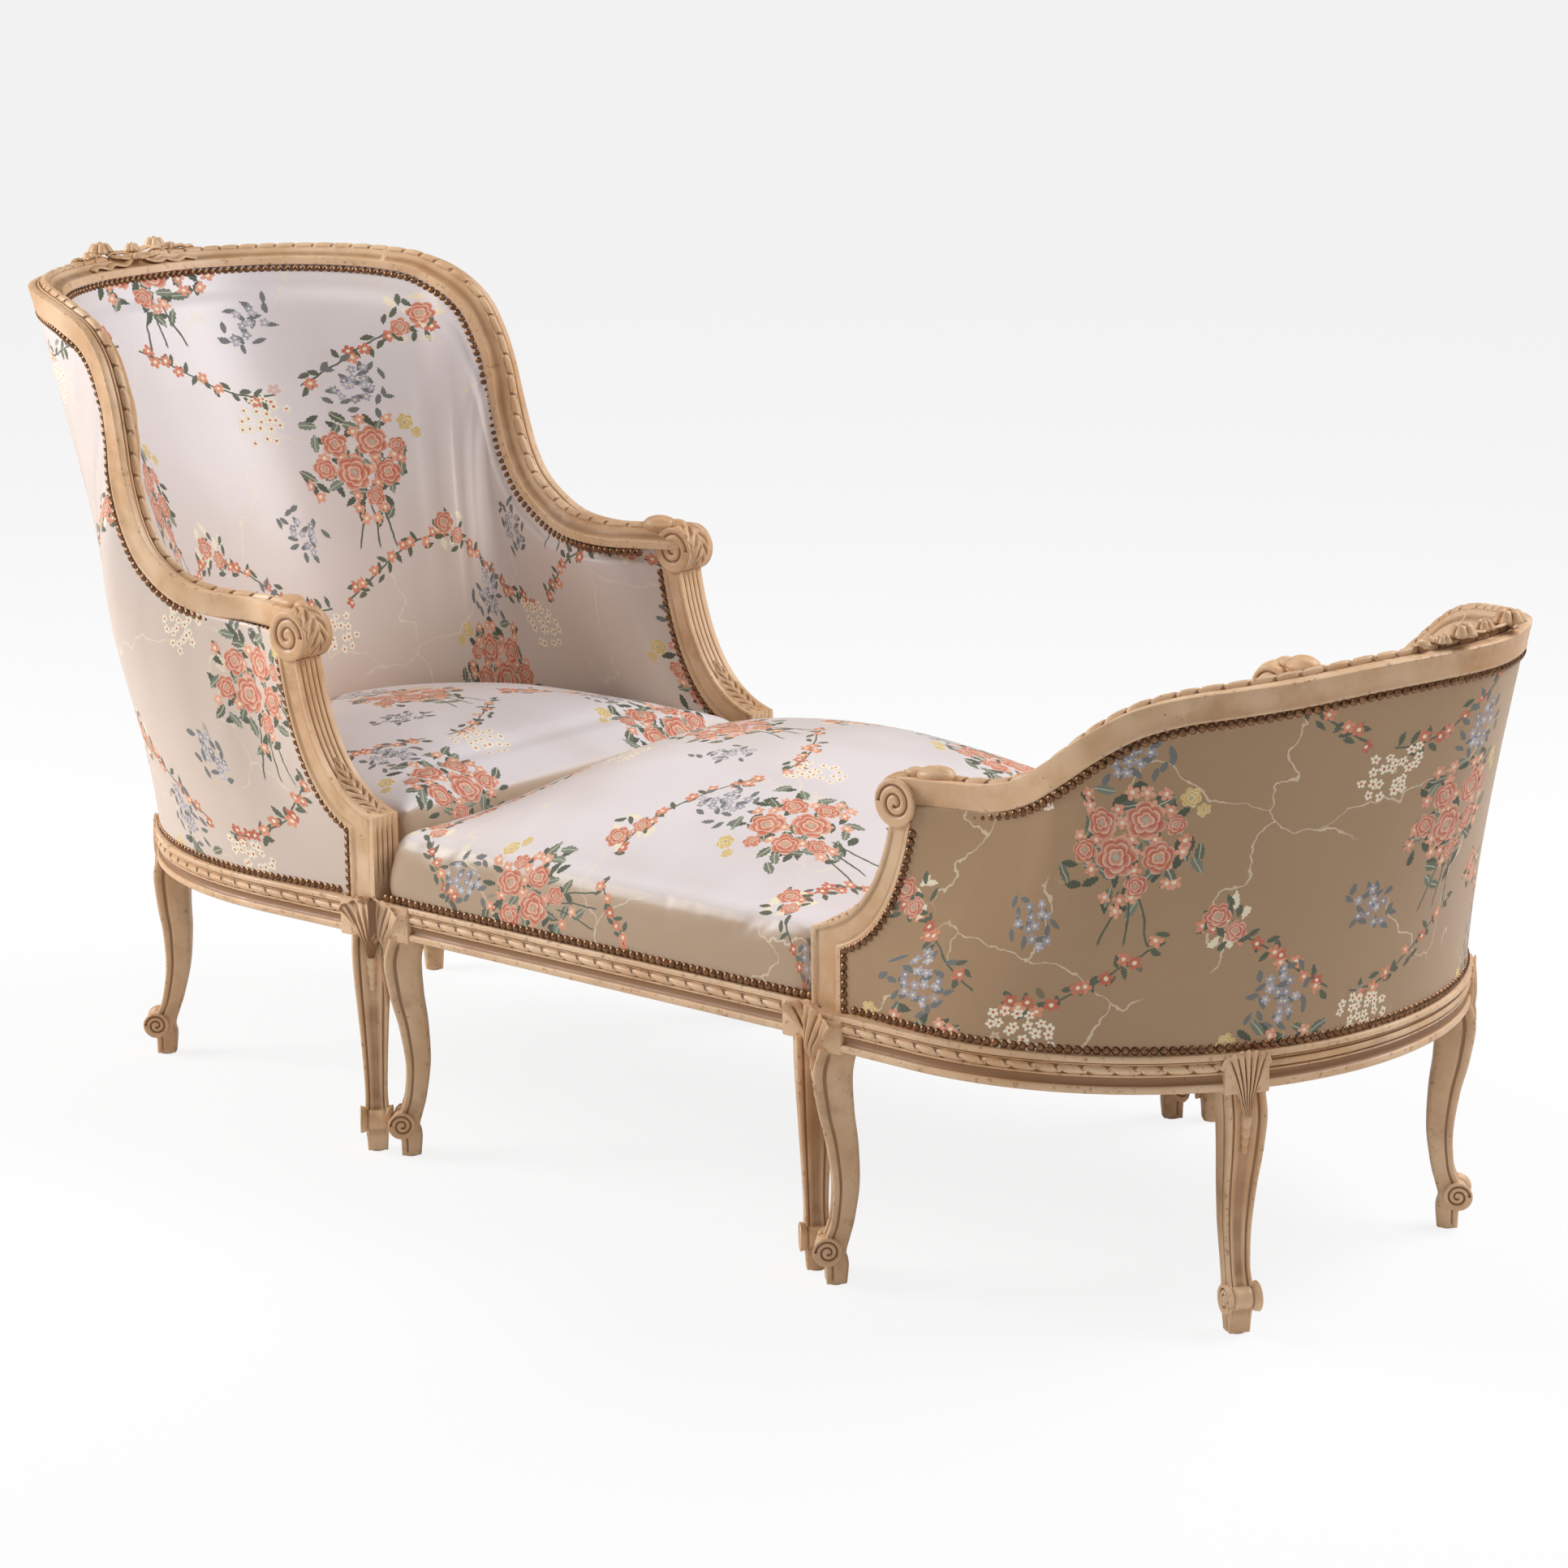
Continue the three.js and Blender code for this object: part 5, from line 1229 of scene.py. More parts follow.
def puffed(piece, low, high):
    """Blows a stuffed shape up by cloth pressure, up to a limit, and not at all below a height."""
    only(piece)
    remesh = piece.modifiers.new("even", "REMESH")
    remesh.mode, remesh.voxel_size = "VOXEL", CLOTH_MESH
    bpy.ops.object.modifier_apply(modifier=remesh.name)
    start = vertex_table(piece.data, "co")
    cloth = piece.modifiers.new("cloth", "CLOTH")
    cloth.settings.quality = 4
    cloth.settings.mass = 0.3
    cloth.settings.tension_stiffness = cloth.settings.compression_stiffness = 12
    cloth.settings.bending_stiffness = 0.4
    cloth.settings.use_pressure = True
    cloth.settings.uniform_pressure_force = CLOTH_PRESSURE
    cloth.settings.effector_weights.gravity = 0
    scene = bpy.context.scene
    for number in range(1, CLOTH_FRAMES + 1):
        scene.frame_set(number)
    bpy.ops.object.modifier_apply(modifier=cloth.name)
    scene.frame_set(1)
    move = vertex_table(piece.data, "co") - start
    far = np.linalg.norm(move, axis=1, keepdims=True)
    free = smooth(start[:, 2:3], low, high)
    end = start + move * free * np.minimum(1, CLOTH_LIMIT / np.maximum(far, 1e-9))
    piece.data.vertices.foreach_set("co", end.ravel())
    piece.data.update()
    finer = piece.modifiers.new("finer", "SUBSURF")
    finer.levels = finer.render_levels = 1
    bpy.ops.object.modifier_apply(modifier=finer.name)
    bpy.ops.object.shade_smooth()


def tub_seat_piece(tub_name):
    """The stuffed seat of a tub, round behind and straight in front, with a soft crease near its front."""
    tub = TUBS[tub_name]
    angles = np.linspace(-np.pi, np.pi, 361)
    rim = plan_point(tub, angles, SEAT_INSET)[:, :2]
    front = np.abs(angles) > plan_angle_at(tub, SEAT_SETBACK, SEAT_INSET)
    slope = np.tan(np.pi - np.abs(angles)) * (tub["centre"] - SEAT_SETBACK)
    rim[front] = np.stack([np.full(front.sum(), SEAT_SETBACK), np.sign(angles[front]) * slope[front]], -1)
    # The front wall stands on the seat rail and reaches nearly across the opening
    ease = smooth(rim[:, 0], 0.14, 0.02) * smooth(np.abs(rim[:, 1]), 0.15, 0.29)
    rim[:, 1] += np.sign(rim[:, 1]) * 0.004 * ease
    centre = np.array([tub["centre"] + 0.02, 0.0])
    points = dome_points(rim, centre, SEAT_BOTTOM, tub["edge"] + 0.002, tub["crown"] + 0.004, 0.020, 2.2)
    wave = soft_waves(points, UP, 5, 0.004, 0.30)
    inner = smooth(np.linspace(0, 1, len(points)), 0.25, 0.5)[:, None, None]
    points = points + (wave - points) * inner
    points[..., 2] -= 0.006 * np.exp(-((points[..., 0] - 0.075) / 0.012) ** 2) * inner[..., 0]
    piece = grid_piece(f"{tub_name}_seat_brocade", to_world(tub, points), closed=(True, True), capped=True,
                       angle=70)
    puffed(piece, LEDGE + 0.02, tub["edge"] - 0.01)
    seat_uv(piece, tub["edge"])
    return piece


def stool_seat_piece():
    """The stuffed seat of the stool, its ends flat against the two tubs, its sides on the rails."""
    low, high = STOOL["inset"] + 0.0005, STOOL["length"] - STOOL["inset"] - 0.0005
    half = STOOL["half"] - STOOL["inset"] + 0.0003
    corners = np.array([(low, -half), (high, -half), (high, half), (low, half), (low, -half)])
    rim = np.stack([np.interp(np.linspace(0, 4, 401), np.arange(5), corners[:, k]) for k in (0, 1)], -1)
    centre = np.array([STOOL["length"] / 2, 0.0])
    square = np.array([(high - low) / 2, half])
    corner = (np.abs((rim - centre) / square) ** 30).sum(1) ** (-1 / 30)
    rim = centre + (rim - centre) * corner[:, None]
    base, crown = STOOL["edge"] + 0.004, STOOL["crown"]
    points = dome_points(rim, centre, SEAT_BOTTOM, base, crown, 0.030, 2.0)
    # The dome falls away to the sides and to the ends, with no ridges towards its corners
    away = np.abs(points[-DOME_ROWS:, :, :2] - centre)
    away = away / away.max((0, 1))
    points[-DOME_ROWS:, :, 2] = base + (crown + 0.002 - base) * (1 - away ** 2.4).prod(-1)
    waved = soft_waves(points, UP, 9, 0.006, 0.34)
    inner = smooth(np.linspace(0, 1, len(points)), 0.3, 0.6)[:, None, None]
    points = points + (waved - points) * inner
    points[..., 0] += STOOL["start"]
    piece = grid_piece("stool_seat_brocade", points, closed=(True, True), capped=True, angle=70)
    puffed(piece, LEDGE + 0.015, STOOL["edge"] - 0.01)
    seat_uv(piece, STOOL["edge"])
    return piece


# Rows of nails

# A nail head from its base to its top, as shares of its radius: outwards and up
NAIL_SHAPE = ((1.0, -0.12), (0.96, 0.10), (0.72, 0.42), (0.36, 0.60), (0.0, 0.68))


def nail_head(radius):
    """One domed nail head, pointing up."""
    turn = np.linspace(0, 2 * np.pi, 9)
    points = [np.column_stack([out * np.cos(turn), out * np.sin(turn), np.full(9, up)])
              for out, up in NAIL_SHAPE]
    return tube("nail_head", np.array(points) * radius, angle=50)


def nail_rows(name, rows, sizes):
    """Domed nail heads along rows of places, each row with its outward directions."""
    head = nail_head(sizes.nail_radius)
    nails = []
    for places, outs in rows:
        length = length_along(places)
        count = max(1, round(length[-1] / sizes.nail_pitch))
        at = (np.arange(count) + 0.5) / count * length[-1]
        spots = np.stack([np.interp(at, length, places[:, k]) for k in range(3)], -1)
        ways = unit(np.stack([np.interp(at, length, outs[:, k]) for k in range(3)], -1))
        for spot, way in zip(spots, ways):
            side = unit(np.cross(way, [0.31, 0.77, 0.55]))
            turned = Matrix([Vector(line) for line in zip(side, np.cross(way, side), way)]).to_4x4()
            nail = bpy.data.objects.new("nail", head.data.copy())
            nail.data.transform(Matrix.Translation(spot) @ turned)
            bpy.context.scene.collection.objects.link(nail)
            nails.append(nail)
    bpy.data.objects.remove(head)
    return joined(name, nails)


def on_sheet(points, outs, gauge, side):
    """Places and directions a gauge in from one side of a sheet: top, bottom, first or last."""
    if side in ("bottom", "last"):
        points, outs = points[::-1, ::-1], outs[::-1, ::-1]
    if side in ("first", "last"):
        points, outs = points.transpose(1, 0, 2), outs.transpose(1, 0, 2)
    places, ways = [], []
    for j in range(points.shape[1]):
        run = length_along(points[:12, j])
        places.append([np.interp(gauge, run, points[:12, j, k]) for k in range(3)])
        ways.append([np.interp(gauge, run, outs[:12, j, k]) for k in range(3)])
    return np.array(places), unit(np.array(ways))


def trimmed(places, ways, keep):
    """The part of a row of places from its first kept place to its last."""
    wanted = np.flatnonzero(keep(places))
    return places[wanted[0]:wanted[-1] + 1], ways[wanted[0]:wanted[-1] + 1]


def sheet_nails(tub, points, outward, low, across, way, above_rail):
    """Rows of nails round a sheet, in the world: below the show wood, behind both consoles, above the rail."""
    u0, z0, radius = tub["volute"]
    rings = even_rings(tub, 0, last_knot(tub), 0.004)

    def from_scroll(places):
        return np.hypot(places[:, 0] - u0, places[:, 2] - z0) - radius

    rows = [trimmed(at_ring(rings, across, -SHOW_HEIGHT - 0.0058), rings["out"] * way,
                    lambda places: from_scroll(places) > 0.0052)]
    for side in ("first", "last"):
        rows.append(trimmed(*on_sheet(points, outward, NAIL_GAUGE, side),
                            lambda places: (from_scroll(places) > 0.0048) & (places[:, 2] > low)))
    if above_rail:
        rows.append(trimmed(*on_sheet(points, outward, BOTTOM_NAIL_GAUGE, "bottom"),
                            lambda places: places[:, 0] > tub["block_depth"] + 0.012))
    return [(to_world(tub, places), way_to_world(tub, ways)) for places, ways in rows]


# Brocade

def polar(board, place):
    """How far a place is from the origin, and its angle round it."""
    parts = board.parts(place)
    return board.vector("LENGTH", place), board.math("ARCTAN2", parts["Y"], parts["X"])


def lobes(board, angle, count, turn=0.0):
    """1 along each of several lobes round a point and 0 between them."""
    return board.math("ABSOLUTE", board.math("COSINE", angle * (count / 2) + turn))


def rose_group():
    """One rose seen from the front: its mask, how pale it is from petal to petal, and its heart."""
    board, given, give = new_group("rose", "V Place, V Centre, F Radius, F Turn", "F Mask, F Pale, F Heart")
    distance, angle = polar(board, given["Place"] - given["Centre"])
    r = distance / given["Radius"]

    def ring(size, petals, turn):
        return (lobes(board, angle, petals, turn) ** 0.6 * 0.30 + 0.70) * size

    def between(low, high):
        return board.math("DIVIDE", r - low, high - low, clamp=True)

    rim = ring(1.0, 6, given["Turn"])
    middle = ring(0.70, 5, given["Turn"] + 1.1)
    inner = ring(0.40, 4, given["Turn"] + 2.3)
    pale = between(middle, rim)
    for low, high in ((inner, middle), (0.0, inner)):
        pale = pale + board.math("LESS_THAN", r, high) * (between(low, high) - pale)
    pale = pale ** board.step(board.noise(given["Place"], 60.0, 1.0), 0.3, 0.7, 1.1, 3.2)
    give(Mask=board.step(rim - r, 0.0, 0.06), Pale=pale, Heart=board.step(r, 0.20, 0.12))
    return board.tree


def scattered(board, given, randomness):
    """Spots at a pitch: the place within each spot, and three numbers of its own."""
    spots = board.add("ShaderNodeTexVoronoi", {
        "Vector": given["Place"], "Scale": 1.0 / given["Pitch"], "Randomness": randomness},
        voronoi_dimensions="2D", feature="F1")
    return given["Place"] - spots["Position"], board.parts(spots["Color"])


def blossom_group():
    """Small scattered blossoms of five petals: mask, eye, a number for each, the way to its middle."""
    board, given, give = new_group(
        "blossoms", "V Place, F Pitch, F Fullness", "F Mask, F Eye, F Number, V Offset")
    local, chance = scattered(board, given, 0.7)
    distance, angle = polar(board, local)
    r = distance / (given["Pitch"] * given["Fullness"])
    rim = lobes(board, angle, 5, chance["X"] * 6.0) ** 0.7 * 0.55 + 0.42
    give(Mask=board.step(rim - r, 0.0, 0.1), Eye=board.step(r, 0.3, 0.2), Number=chance["Y"],
         Offset=local * (-1.0, -1.0, 0.0))
    return board.tree


def leaf_group():
    """Scattered saw-edged leaves: mask, vein, a number for each, the way to its middle."""
    board, given, give = new_group("leaves", "V Place, F Pitch", "F Mask, F Vein, F Number, V Offset")
    local, chance = scattered(board, given, 0.85)
    turned = board.add("ShaderNodeVectorRotate", {"Vector": local, "Angle": chance["X"] * 6.28},
                       rotation_type="Z_AXIS")
    parts = board.parts(turned[0])
    along = parts["X"] / (given["Pitch"] * 0.52)
    across = board.math("ABSOLUTE", parts["Y"] / (given["Pitch"] * 0.52))
    edge = (1.0 - along * along) * 0.42 + board.math("SINE", along * 16.0) * 0.045
    give(Mask=board.step(edge - across, 0.0, 0.07), Vein=board.step(across, 0.07, 0.02), Number=chance["Y"],
         Offset=local * (-1.0, -1.0, 0.0))
    return board.tree


# The half-drop repeat of the brocade
REPEAT_WIDTH = 0.40
REPEAT_HEIGHT = 0.56


def folded(board, value, period, shift):
    """A length brought back to the nearest repeat, from minus half a period to half a period."""
    turns = value / period + shift
    return (turns - board.math("ROUND", turns)) * period


class Flowers:
    """Lays the motifs of the brocade one over another; x and y are metres from a bouquet's middle."""

    def __init__(self, board, given):
        self.board, self.given = board, given
        self.colour, self.thread = given["Ground"], 0.0
        self.shake = board.noise(given["Place"], 55.0, output="Color") - (0.5, 0.5, 0.5)
        parts = board.parts(given["Place"] + self.shake * (0.006, 0.006, 0.0))
        x, y = parts["X"], parts["Y"]
        self.flat = board.pack(x, y)
        first = board.pack(folded(board, x, REPEAT_WIDTH, 0.0), folded(board, y, REPEAT_HEIGHT, 0.0))
        second = board.pack(folded(board, x, REPEAT_WIDTH, 0.5) * -1.0, folded(board, y, REPEAT_HEIGHT, 0.5))
        chosen = board.math("LESS_THAN", board.vector("LENGTH", first), board.vector("LENGTH", second))
        self.cell = board.choose(chosen, second, first)
        self.mirror = board.pack(chosen * 2.0 - 1.0, 1.0)

    def lay(self, mask, tint, raised=1.0):
        self.colour = self.board.mix(mask, self.colour, tint)
        self.thread = self.board.math("MAXIMUM", self.thread, mask * raised)

    def motif(self, name, pitch, shift=None, **values):
        place = self.flat + shift if shift else self.flat
        return self.board.group(GROUPS[name], {"Place": place, "Pitch": pitch, **values})

    def middle(self, motif):
        """Where the middle of a motif lies in its repeat, so that motifs are kept or left out whole."""
        return self.cell + motif["Offset"] * self.mirror

    def kept(self, motif, *circles):
        """A motif's mask inside some circles."""
        spot, share = self.middle(motif), 0.0
        for x, y, radius in circles:
            away = self.board.vector("LENGTH", spot - (x, y, 0.0))
            share = self.board.math("MAXIMUM", share, self.board.step(away, radius, radius * 0.98))
        return motif["Mask"] * share

    def in_bouquet(self, motif, size):
        """A motif's mask inside the ragged outline of the bouquet."""
        away, angle = polar(self.board, self.middle(motif))
        ragged = size + lobes(self.board, angle, 5, 0.7) * 0.026
        return motif["Mask"] * self.board.math("LESS_THAN", away, ragged)

    def garland_at(self, spot):
        """How far a spot is from the garland's line, and 1 where the garland is present."""
        board, parts = self.board, self.board.parts(spot)
        swing = board.math("SINE", parts["X"] * (2 * math.pi / REPEAT_WIDTH)) * 0.045
        off_line = board.math("ABSOLUTE", folded(board, parts["Y"], REPEAT_HEIGHT / 2, 0.5) - swing)
        phase = board.math("ABSOLUTE", folded(board, parts["X"] + 0.03, REPEAT_WIDTH / 2, 0.0))
        return off_line, board.step(phase, 0.085, 0.083)

    def on_garland(self, motif, reach):
        off_line, present = self.garland_at(self.flat + motif["Offset"])
        return motif["Mask"] * (self.board.step(off_line, reach, reach * 0.98) * present)

    def lay_wavy_lines(self):
        board = self.board
        drift = board.noise(self.flat, 13.0, 1.0, output="Color") - (0.5, 0.5, 0.5)
        bent = self.flat + self.shake * (0.016, 0.016, 0.0) + drift * (0.11, 0.11, 0.0)
        net = board.add("ShaderNodeTexVoronoi", {"Vector": bent, "Scale": 4.6},
                        voronoi_dimensions="2D", feature="DISTANCE_TO_EDGE")
        line = board.step(net["Distance"], 0.0070, 0.0035)
        broken = board.step(board.noise(self.flat, 6.0, 0.0), 0.42, 0.47)
        self.lay(line * broken * 0.55, self.given["Cream"], 0.5)

    def lay_garlands(self, leaves, small):
        """Coral blossoms and leaves on a line between the rows of bouquets."""
        board, given = self.board, self.given
        off_line, present = self.garland_at(self.flat)
        self.lay(board.step(off_line, 0.0018, 0.0010) * present, given["Leaf"], 0.8)
        self.lay(self.on_garland(leaves, 0.014), given["Leaf"])
        garland = self.on_garland(small, 0.008)
        self.lay(garland, board.mix(small["Number"], given["Rose"], PALE_CORAL))
        self.lay(garland * small["Eye"], given["Cream"])

    def lay_clusters(self, leaves, tiny):
        """Tiny cream blossoms with red eyes, and the leaves round two coral blossoms."""
        given = self.given
        patch = self.kept(tiny, (-0.118, 0.062, 0.030), (-0.092, 0.080, 0.018))
        self.lay(patch, self.board.mix(0.3, given["Cream"], WHITE_THREAD))
        self.lay(patch * tiny["Eye"], given["Rose"])
        pale = self.motif("leaves", 0.022, (0.31, 0.17, 0.0))
        self.lay(self.kept(pale, (0.118, -0.085, 0.032)), given["Cream"], 0.8)
        self.lay(self.kept(leaves, (0.122, -0.088, 0.030)), given["Leaf"], 0.8)

    def lay_sprays(self, leaves, tiny):
        """Mauve sprays with their leaves, above the bouquet and beside its stems."""
        board, given = self.board, self.given
        around = ((0.010, 0.098, 0.042), (-0.006, 0.128, 0.018), (-0.098, -0.092, 0.032),
                  (-0.118, -0.066, 0.020))
        self.lay(self.kept(leaves, *around), board.mix(0.35, given["Leaf"], given["Blue"]))
        blue = self.kept(tiny, (0.006, 0.100, 0.024), (0.014, 0.124, 0.014), (-0.104, -0.084, 0.020),
                         (-0.090, -0.104, 0.012))
        self.lay(blue, board.mix(tiny["Number"], given["Blue"], PALE_MAUVE))
        self.lay(blue * tiny["Eye"], YELLOW_EYE)

    def lay_bouquet(self, small):
        """Leaves, stems and small coral blossoms of the bouquet, under its roses."""
        board, given = self.board, self.given
        large = self.motif("leaves", 0.027, (0.11, 0.07, 0.0))
        green = board.mix(large["Number"], given["Leaf"], PALE_LEAF)
        under = self.motif("leaves", 0.022, (0.05, 0.19, 0.0))
        self.lay(self.in_bouquet(under, 0.056), board.mix(0.45, given["Leaf"], DARK_LEAF))
        mask = self.in_bouquet(large, 0.058)
        self.lay(mask, green)
        self.lay(large["Vein"] * mask, LEAF_VEIN)
        parts = board.parts(self.cell)
        x, y = parts["X"], parts["Y"]
        below = board.step(y, -0.045, -0.050) * board.step(y, -0.112, -0.106)
        for lean, foot in ((0.22, -0.006), (-0.12, 0.004), (-0.38, 0.014)):
            line = (y + 0.05) * lean + foot + board.math("SINE", y * 70.0) * 0.003
            self.lay(board.step(board.math("ABSOLUTE", x - line), 0.0017, 0.0010) * below, given["Leaf"])
        outer = self.in_bouquet(small, 0.052) * board.step(small["Number"], 0.62, 0.63)
        self.lay(outer, board.mix(small["Number"], given["Rose"], BRIGHT_CORAL))
        self.lay(outer * small["Eye"], given["Cream"])

    def lay_roses(self):
        """The rose that each point lies in is picked first, later ones in front, and then drawn."""
        board, given = self.board, self.given
        pick = NO_ROSE
        for rose in ROSES:
            away = board.vector("LENGTH", self.cell - (rose[0], rose[1], 0.0))
            pick = board.choose(board.math("LESS_THAN", away, rose[2]), pick, rose)
        picked = board.parts(pick)
        bloom = board.group(GROUPS["rose"], {
            "Place": self.cell, "Centre": board.pack(picked["X"], picked["Y"]), "Radius": picked["Z"],
            "Turn": picked["X"] * 57.0})
        yellow = board.math("LESS_THAN", picked["Z"], YELLOW_BELOW)
        deep = board.mix(yellow, given["Rose"], DEEP_YELLOW)
        light = board.mix(yellow, PALE_PETAL, PALE_YELLOW)
        self.lay(bloom["Mask"], board.mix(bloom["Pale"], deep, light))
        self.lay(bloom["Heart"] * bloom["Mask"], board.mix(0.5, given["Leaf"], given["Cream"]))


# Each rose of a bouquet as x, y and radius; those smaller than the limit are yellow
ROSES = ((0.108, -0.078, 0.0160), (0.130, -0.097, 0.0135), (0.066, 0.056, 0.0115), (0.080, 0.042, 0.0080),
         (-0.028, 0.028, 0.0185), (0.020, 0.031, 0.0225), (-0.010, -0.010, 0.0250), (0.036, -0.010, 0.0190),
         (-0.048, -0.004, 0.0160), (0.014, -0.042, 0.0145), (0.052, 0.026, 0.0120))
NO_ROSE = (0.3, 0.3, 0.001)
YELLOW_BELOW = 0.0118


def brocade_group():
    """Flowers of the brocade: bouquets on a half-drop repeat, with sprays, garlands and wavy lines."""
    board, given, give = new_group(
        "brocade flowers", "V Place, C Ground, C Rose, C Leaf, C Blue, C Cream", "C Colour, F Thread")
    flowers = Flowers(board, given)
    flowers.lay_wavy_lines()
    leaves = flowers.motif("leaves", 0.017)
    small = flowers.motif("blossoms", 0.0165, Fullness=0.56)
    flowers.lay_garlands(leaves, small)
    tiny = flowers.motif("blossoms", 0.0125, Fullness=0.52)
    flowers.lay_clusters(leaves, tiny)
    flowers.lay_sprays(leaves, tiny)
    flowers.lay_bouquet(small)
    flowers.lay_roses()
    give(Colour=flowers.colour, Thread=flowers.thread)
    return board.tree


def brocade(name, colours, ground, gold_and_shade, gloss, shaded_sides=False):
    """Satin with raised flowers; painted shade turns it to gold low down, or on the sides of a seat."""
    material, board, shader = new_material(name)
    place = board.add("ShaderNodeUVMap")["UV"]
    parts = board.parts(place)
    threads = board.noise(place * (2600.0, 160.0, 1.0), 1.0, 2.0)
    satin = board.mix(board.step(board.noise(place, 5.0, 2.0), 0.35, 0.75, 0.0, 0.22), ground, gold_and_shade)
    if shaded_sides:
        # Painted shade: gold mixed in where a seat's surface turns from facing up to its sides
        level = board.parts(board.add("ShaderNodeNewGeometry")["Normal"])["Z"]
        satin = board.mix(board.step(level, 0.90, 0.35, 0.0, 0.9), satin, gold_and_shade)
    else:
        # Painted shade: gold mixed in towards the bottom of a cover, by its height in the brocade's layout
        satin = board.mix(board.step(parts["Y"], 1.05, 0.55, 0.0, 0.6), satin, gold_and_shade)
    satin = board.mix(board.step(threads, 0.35, 0.75, 0.0, 0.10), satin, DARK_THREAD)
    flowers = board.group(GROUPS["brocade"], {
        "Place": place, "Ground": satin, "Rose": tuple(colours.rose), "Leaf": tuple(colours.leaf),
        "Blue": tuple(colours.blue), "Cream": tuple(colours.cream)})
    weave = weave_height(board, parts["X"], parts["Y"], WEAVE_PITCH)
    height = weave * 0.12 + flowers["Thread"] * 0.6 + threads * 0.2
    board.fill(shader, {
        "Base Color": flowers["Colour"], "Roughness": board.step(flowers["Thread"], 0.0, 1.0, gloss, 0.72),
        "Specular IOR Level": 0.55, "Sheen Weight": 0.3, "Sheen Tint": gold_and_shade, "Sheen Roughness": 0.4,
        "Normal": board.bump(height, 0.5, 0.0005)})
    return material


# Stage

CAMERA_PLACE = Vector((3.4186, -3.9144, 1.7143))
CAMERA_TURN, CAMERA_DIP, CAMERA_ROLL = (math.radians(degrees) for degrees in (40.39, -13.81, -0.66))
CAMERA_LENS = 98.81
WHITE = (1.0, 1.0, 1.0)
# Each light's name, place, the spot it points to, its sides, watts and colour
LIGHTS = (("window", (-3.6, -2.2, 2.6), (-0.4, 0, 0.5), (2.0, 1.8), 185, (1.0, 0.98, 0.97)),
          ("skylight", (1.9, 1.8, 3.2), (-0.2, 0, 0.5), (2.4, 2.0), 130, (0.97, 0.97, 1.0)),
          ("fill", (3.0, -3.6, 2.6), (0, 0, 0.4), (1.8, 1.6), 26, (1.0, 0.97, 0.96)))


def camera_matrix():
    level = Vector((math.cos(CAMERA_TURN), math.sin(CAMERA_TURN), 0))
    forward = Vector((-level.y * math.cos(CAMERA_DIP), level.x * math.cos(CAMERA_DIP), math.sin(CAMERA_DIP)))
    rise = level.cross(forward)
    right = level * math.cos(CAMERA_ROLL) + rise * math.sin(CAMERA_ROLL)
    up = rise * math.cos(CAMERA_ROLL) - level * math.sin(CAMERA_ROLL)
    matrix = Matrix((right, up, -forward)).transposed().to_4x4()
    matrix.translation = CAMERA_PLACE
    return matrix


def soft_light(name, place, target, size, power, colour):
    bpy.ops.object.light_add(type="AREA", location=place)
    light = bpy.context.object
    light.name = light.data.name = name
    light.data.shape = "RECTANGLE"
    light.data.size, light.data.size_y = size
    light.data.energy = power
    light.data.color = colour
    light.rotation_euler = (Vector(target) - Vector(place)).to_track_quat("-Z", "Y").to_euler()


def pale_floor():
    bpy.ops.object.select_all(action="DESELECT")
    bpy.ops.mesh.primitive_plane_add(size=60, location=(0, 0, -0.0005))
    floor = bpy.context.object
    floor.name = floor.data.name = "floor"
    material = bpy.data.materials.new("pale floor")
    material.use_nodes = True
    material.node_tree.nodes.clear()
    board = Board(material.node_tree)
    matt = board.add("ShaderNodeBsdfDiffuse", {"Color": (0.9, 0.9, 0.9)})[0]
    glow = board.add("ShaderNodeEmission", {"Color": WHITE, "Strength": 1.0})[0]
    seen = board.add("ShaderNodeLightPath")["Is Camera Ray"] * 0.86
    both = board.add("ShaderNodeMixShader", {0: seen, 1: matt, 2: glow})[0]
    board.add("ShaderNodeOutputMaterial", {"Surface": both})
    floor.data.materials.append(material)


def white_world():
    world = bpy.data.worlds.new("studio")
    bpy.context.scene.world = world
    world.use_nodes = True
    world.node_tree.nodes.clear()
    board = Board(world.node_tree)
    seen = board.add("ShaderNodeLightPath")["Is Camera Ray"]
    strength = board.step(seen, 0.0, 1.0, 0.20, 1.0)
    background = board.add("ShaderNodeBackground", {"Color": WHITE, "Strength": strength})[0]
    board.add("ShaderNodeOutputWorld", {"Surface": background})


# Operators

def sizes_now():
    return bpy.context.scene.duchesse_sizes


def colours_now():
    return bpy.context.scene.duchesse_colours


class DUCHESSE_OT_finishes(bpy.types.Operator):
    """Makes the paint, the brocades, the brass, the beech, the jute and the steel"""
    bl_idname = "duchesse.finishes"
    bl_label = "Finishes"

    def execute(self, context):
        colours = colours_now()
        GROUPS["paint"] = worn_paint_group()
        GROUPS["rose"] = rose_group()
        GROUPS["blossoms"] = blossom_group()
        GROUPS["leaves"] = leaf_group()
        GROUPS["brocade"] = brocade_group()
        FINISH["paint"] = painted_wood(colours)
        ivory, shaded_beige = tuple(colours.satin), tuple(colours.shaded_beige)
        # Each brocade mixes in its gold as painted shade: low down on the covers, on the sides of the seats
        FINISH["brocade"] = brocade("ivory brocade", colours, ivory, BACK_GOLD_AND_SHADE, 0.40)
        FINISH["seat"] = brocade("ivory brocade of the seats", colours, ivory, SEAT_GOLD_AND_SHADE, 0.38,
                                 shaded_sides=True)
        # This brocade's ground is painted shade, the ivory satin darkened for the foot chair's outside
        FINISH["outside"] = brocade("beige brocade", colours, shaded_beige, OUTSIDE_GOLD_AND_SHADE, 0.42)
        FINISH["nails"] = antique_brass(colours)
        FINISH["beech"] = bare_beech()
        FINISH["jute"] = jute_webbing()
        FINISH["steel"] = spring_steel()
        return {"FINISHED"}


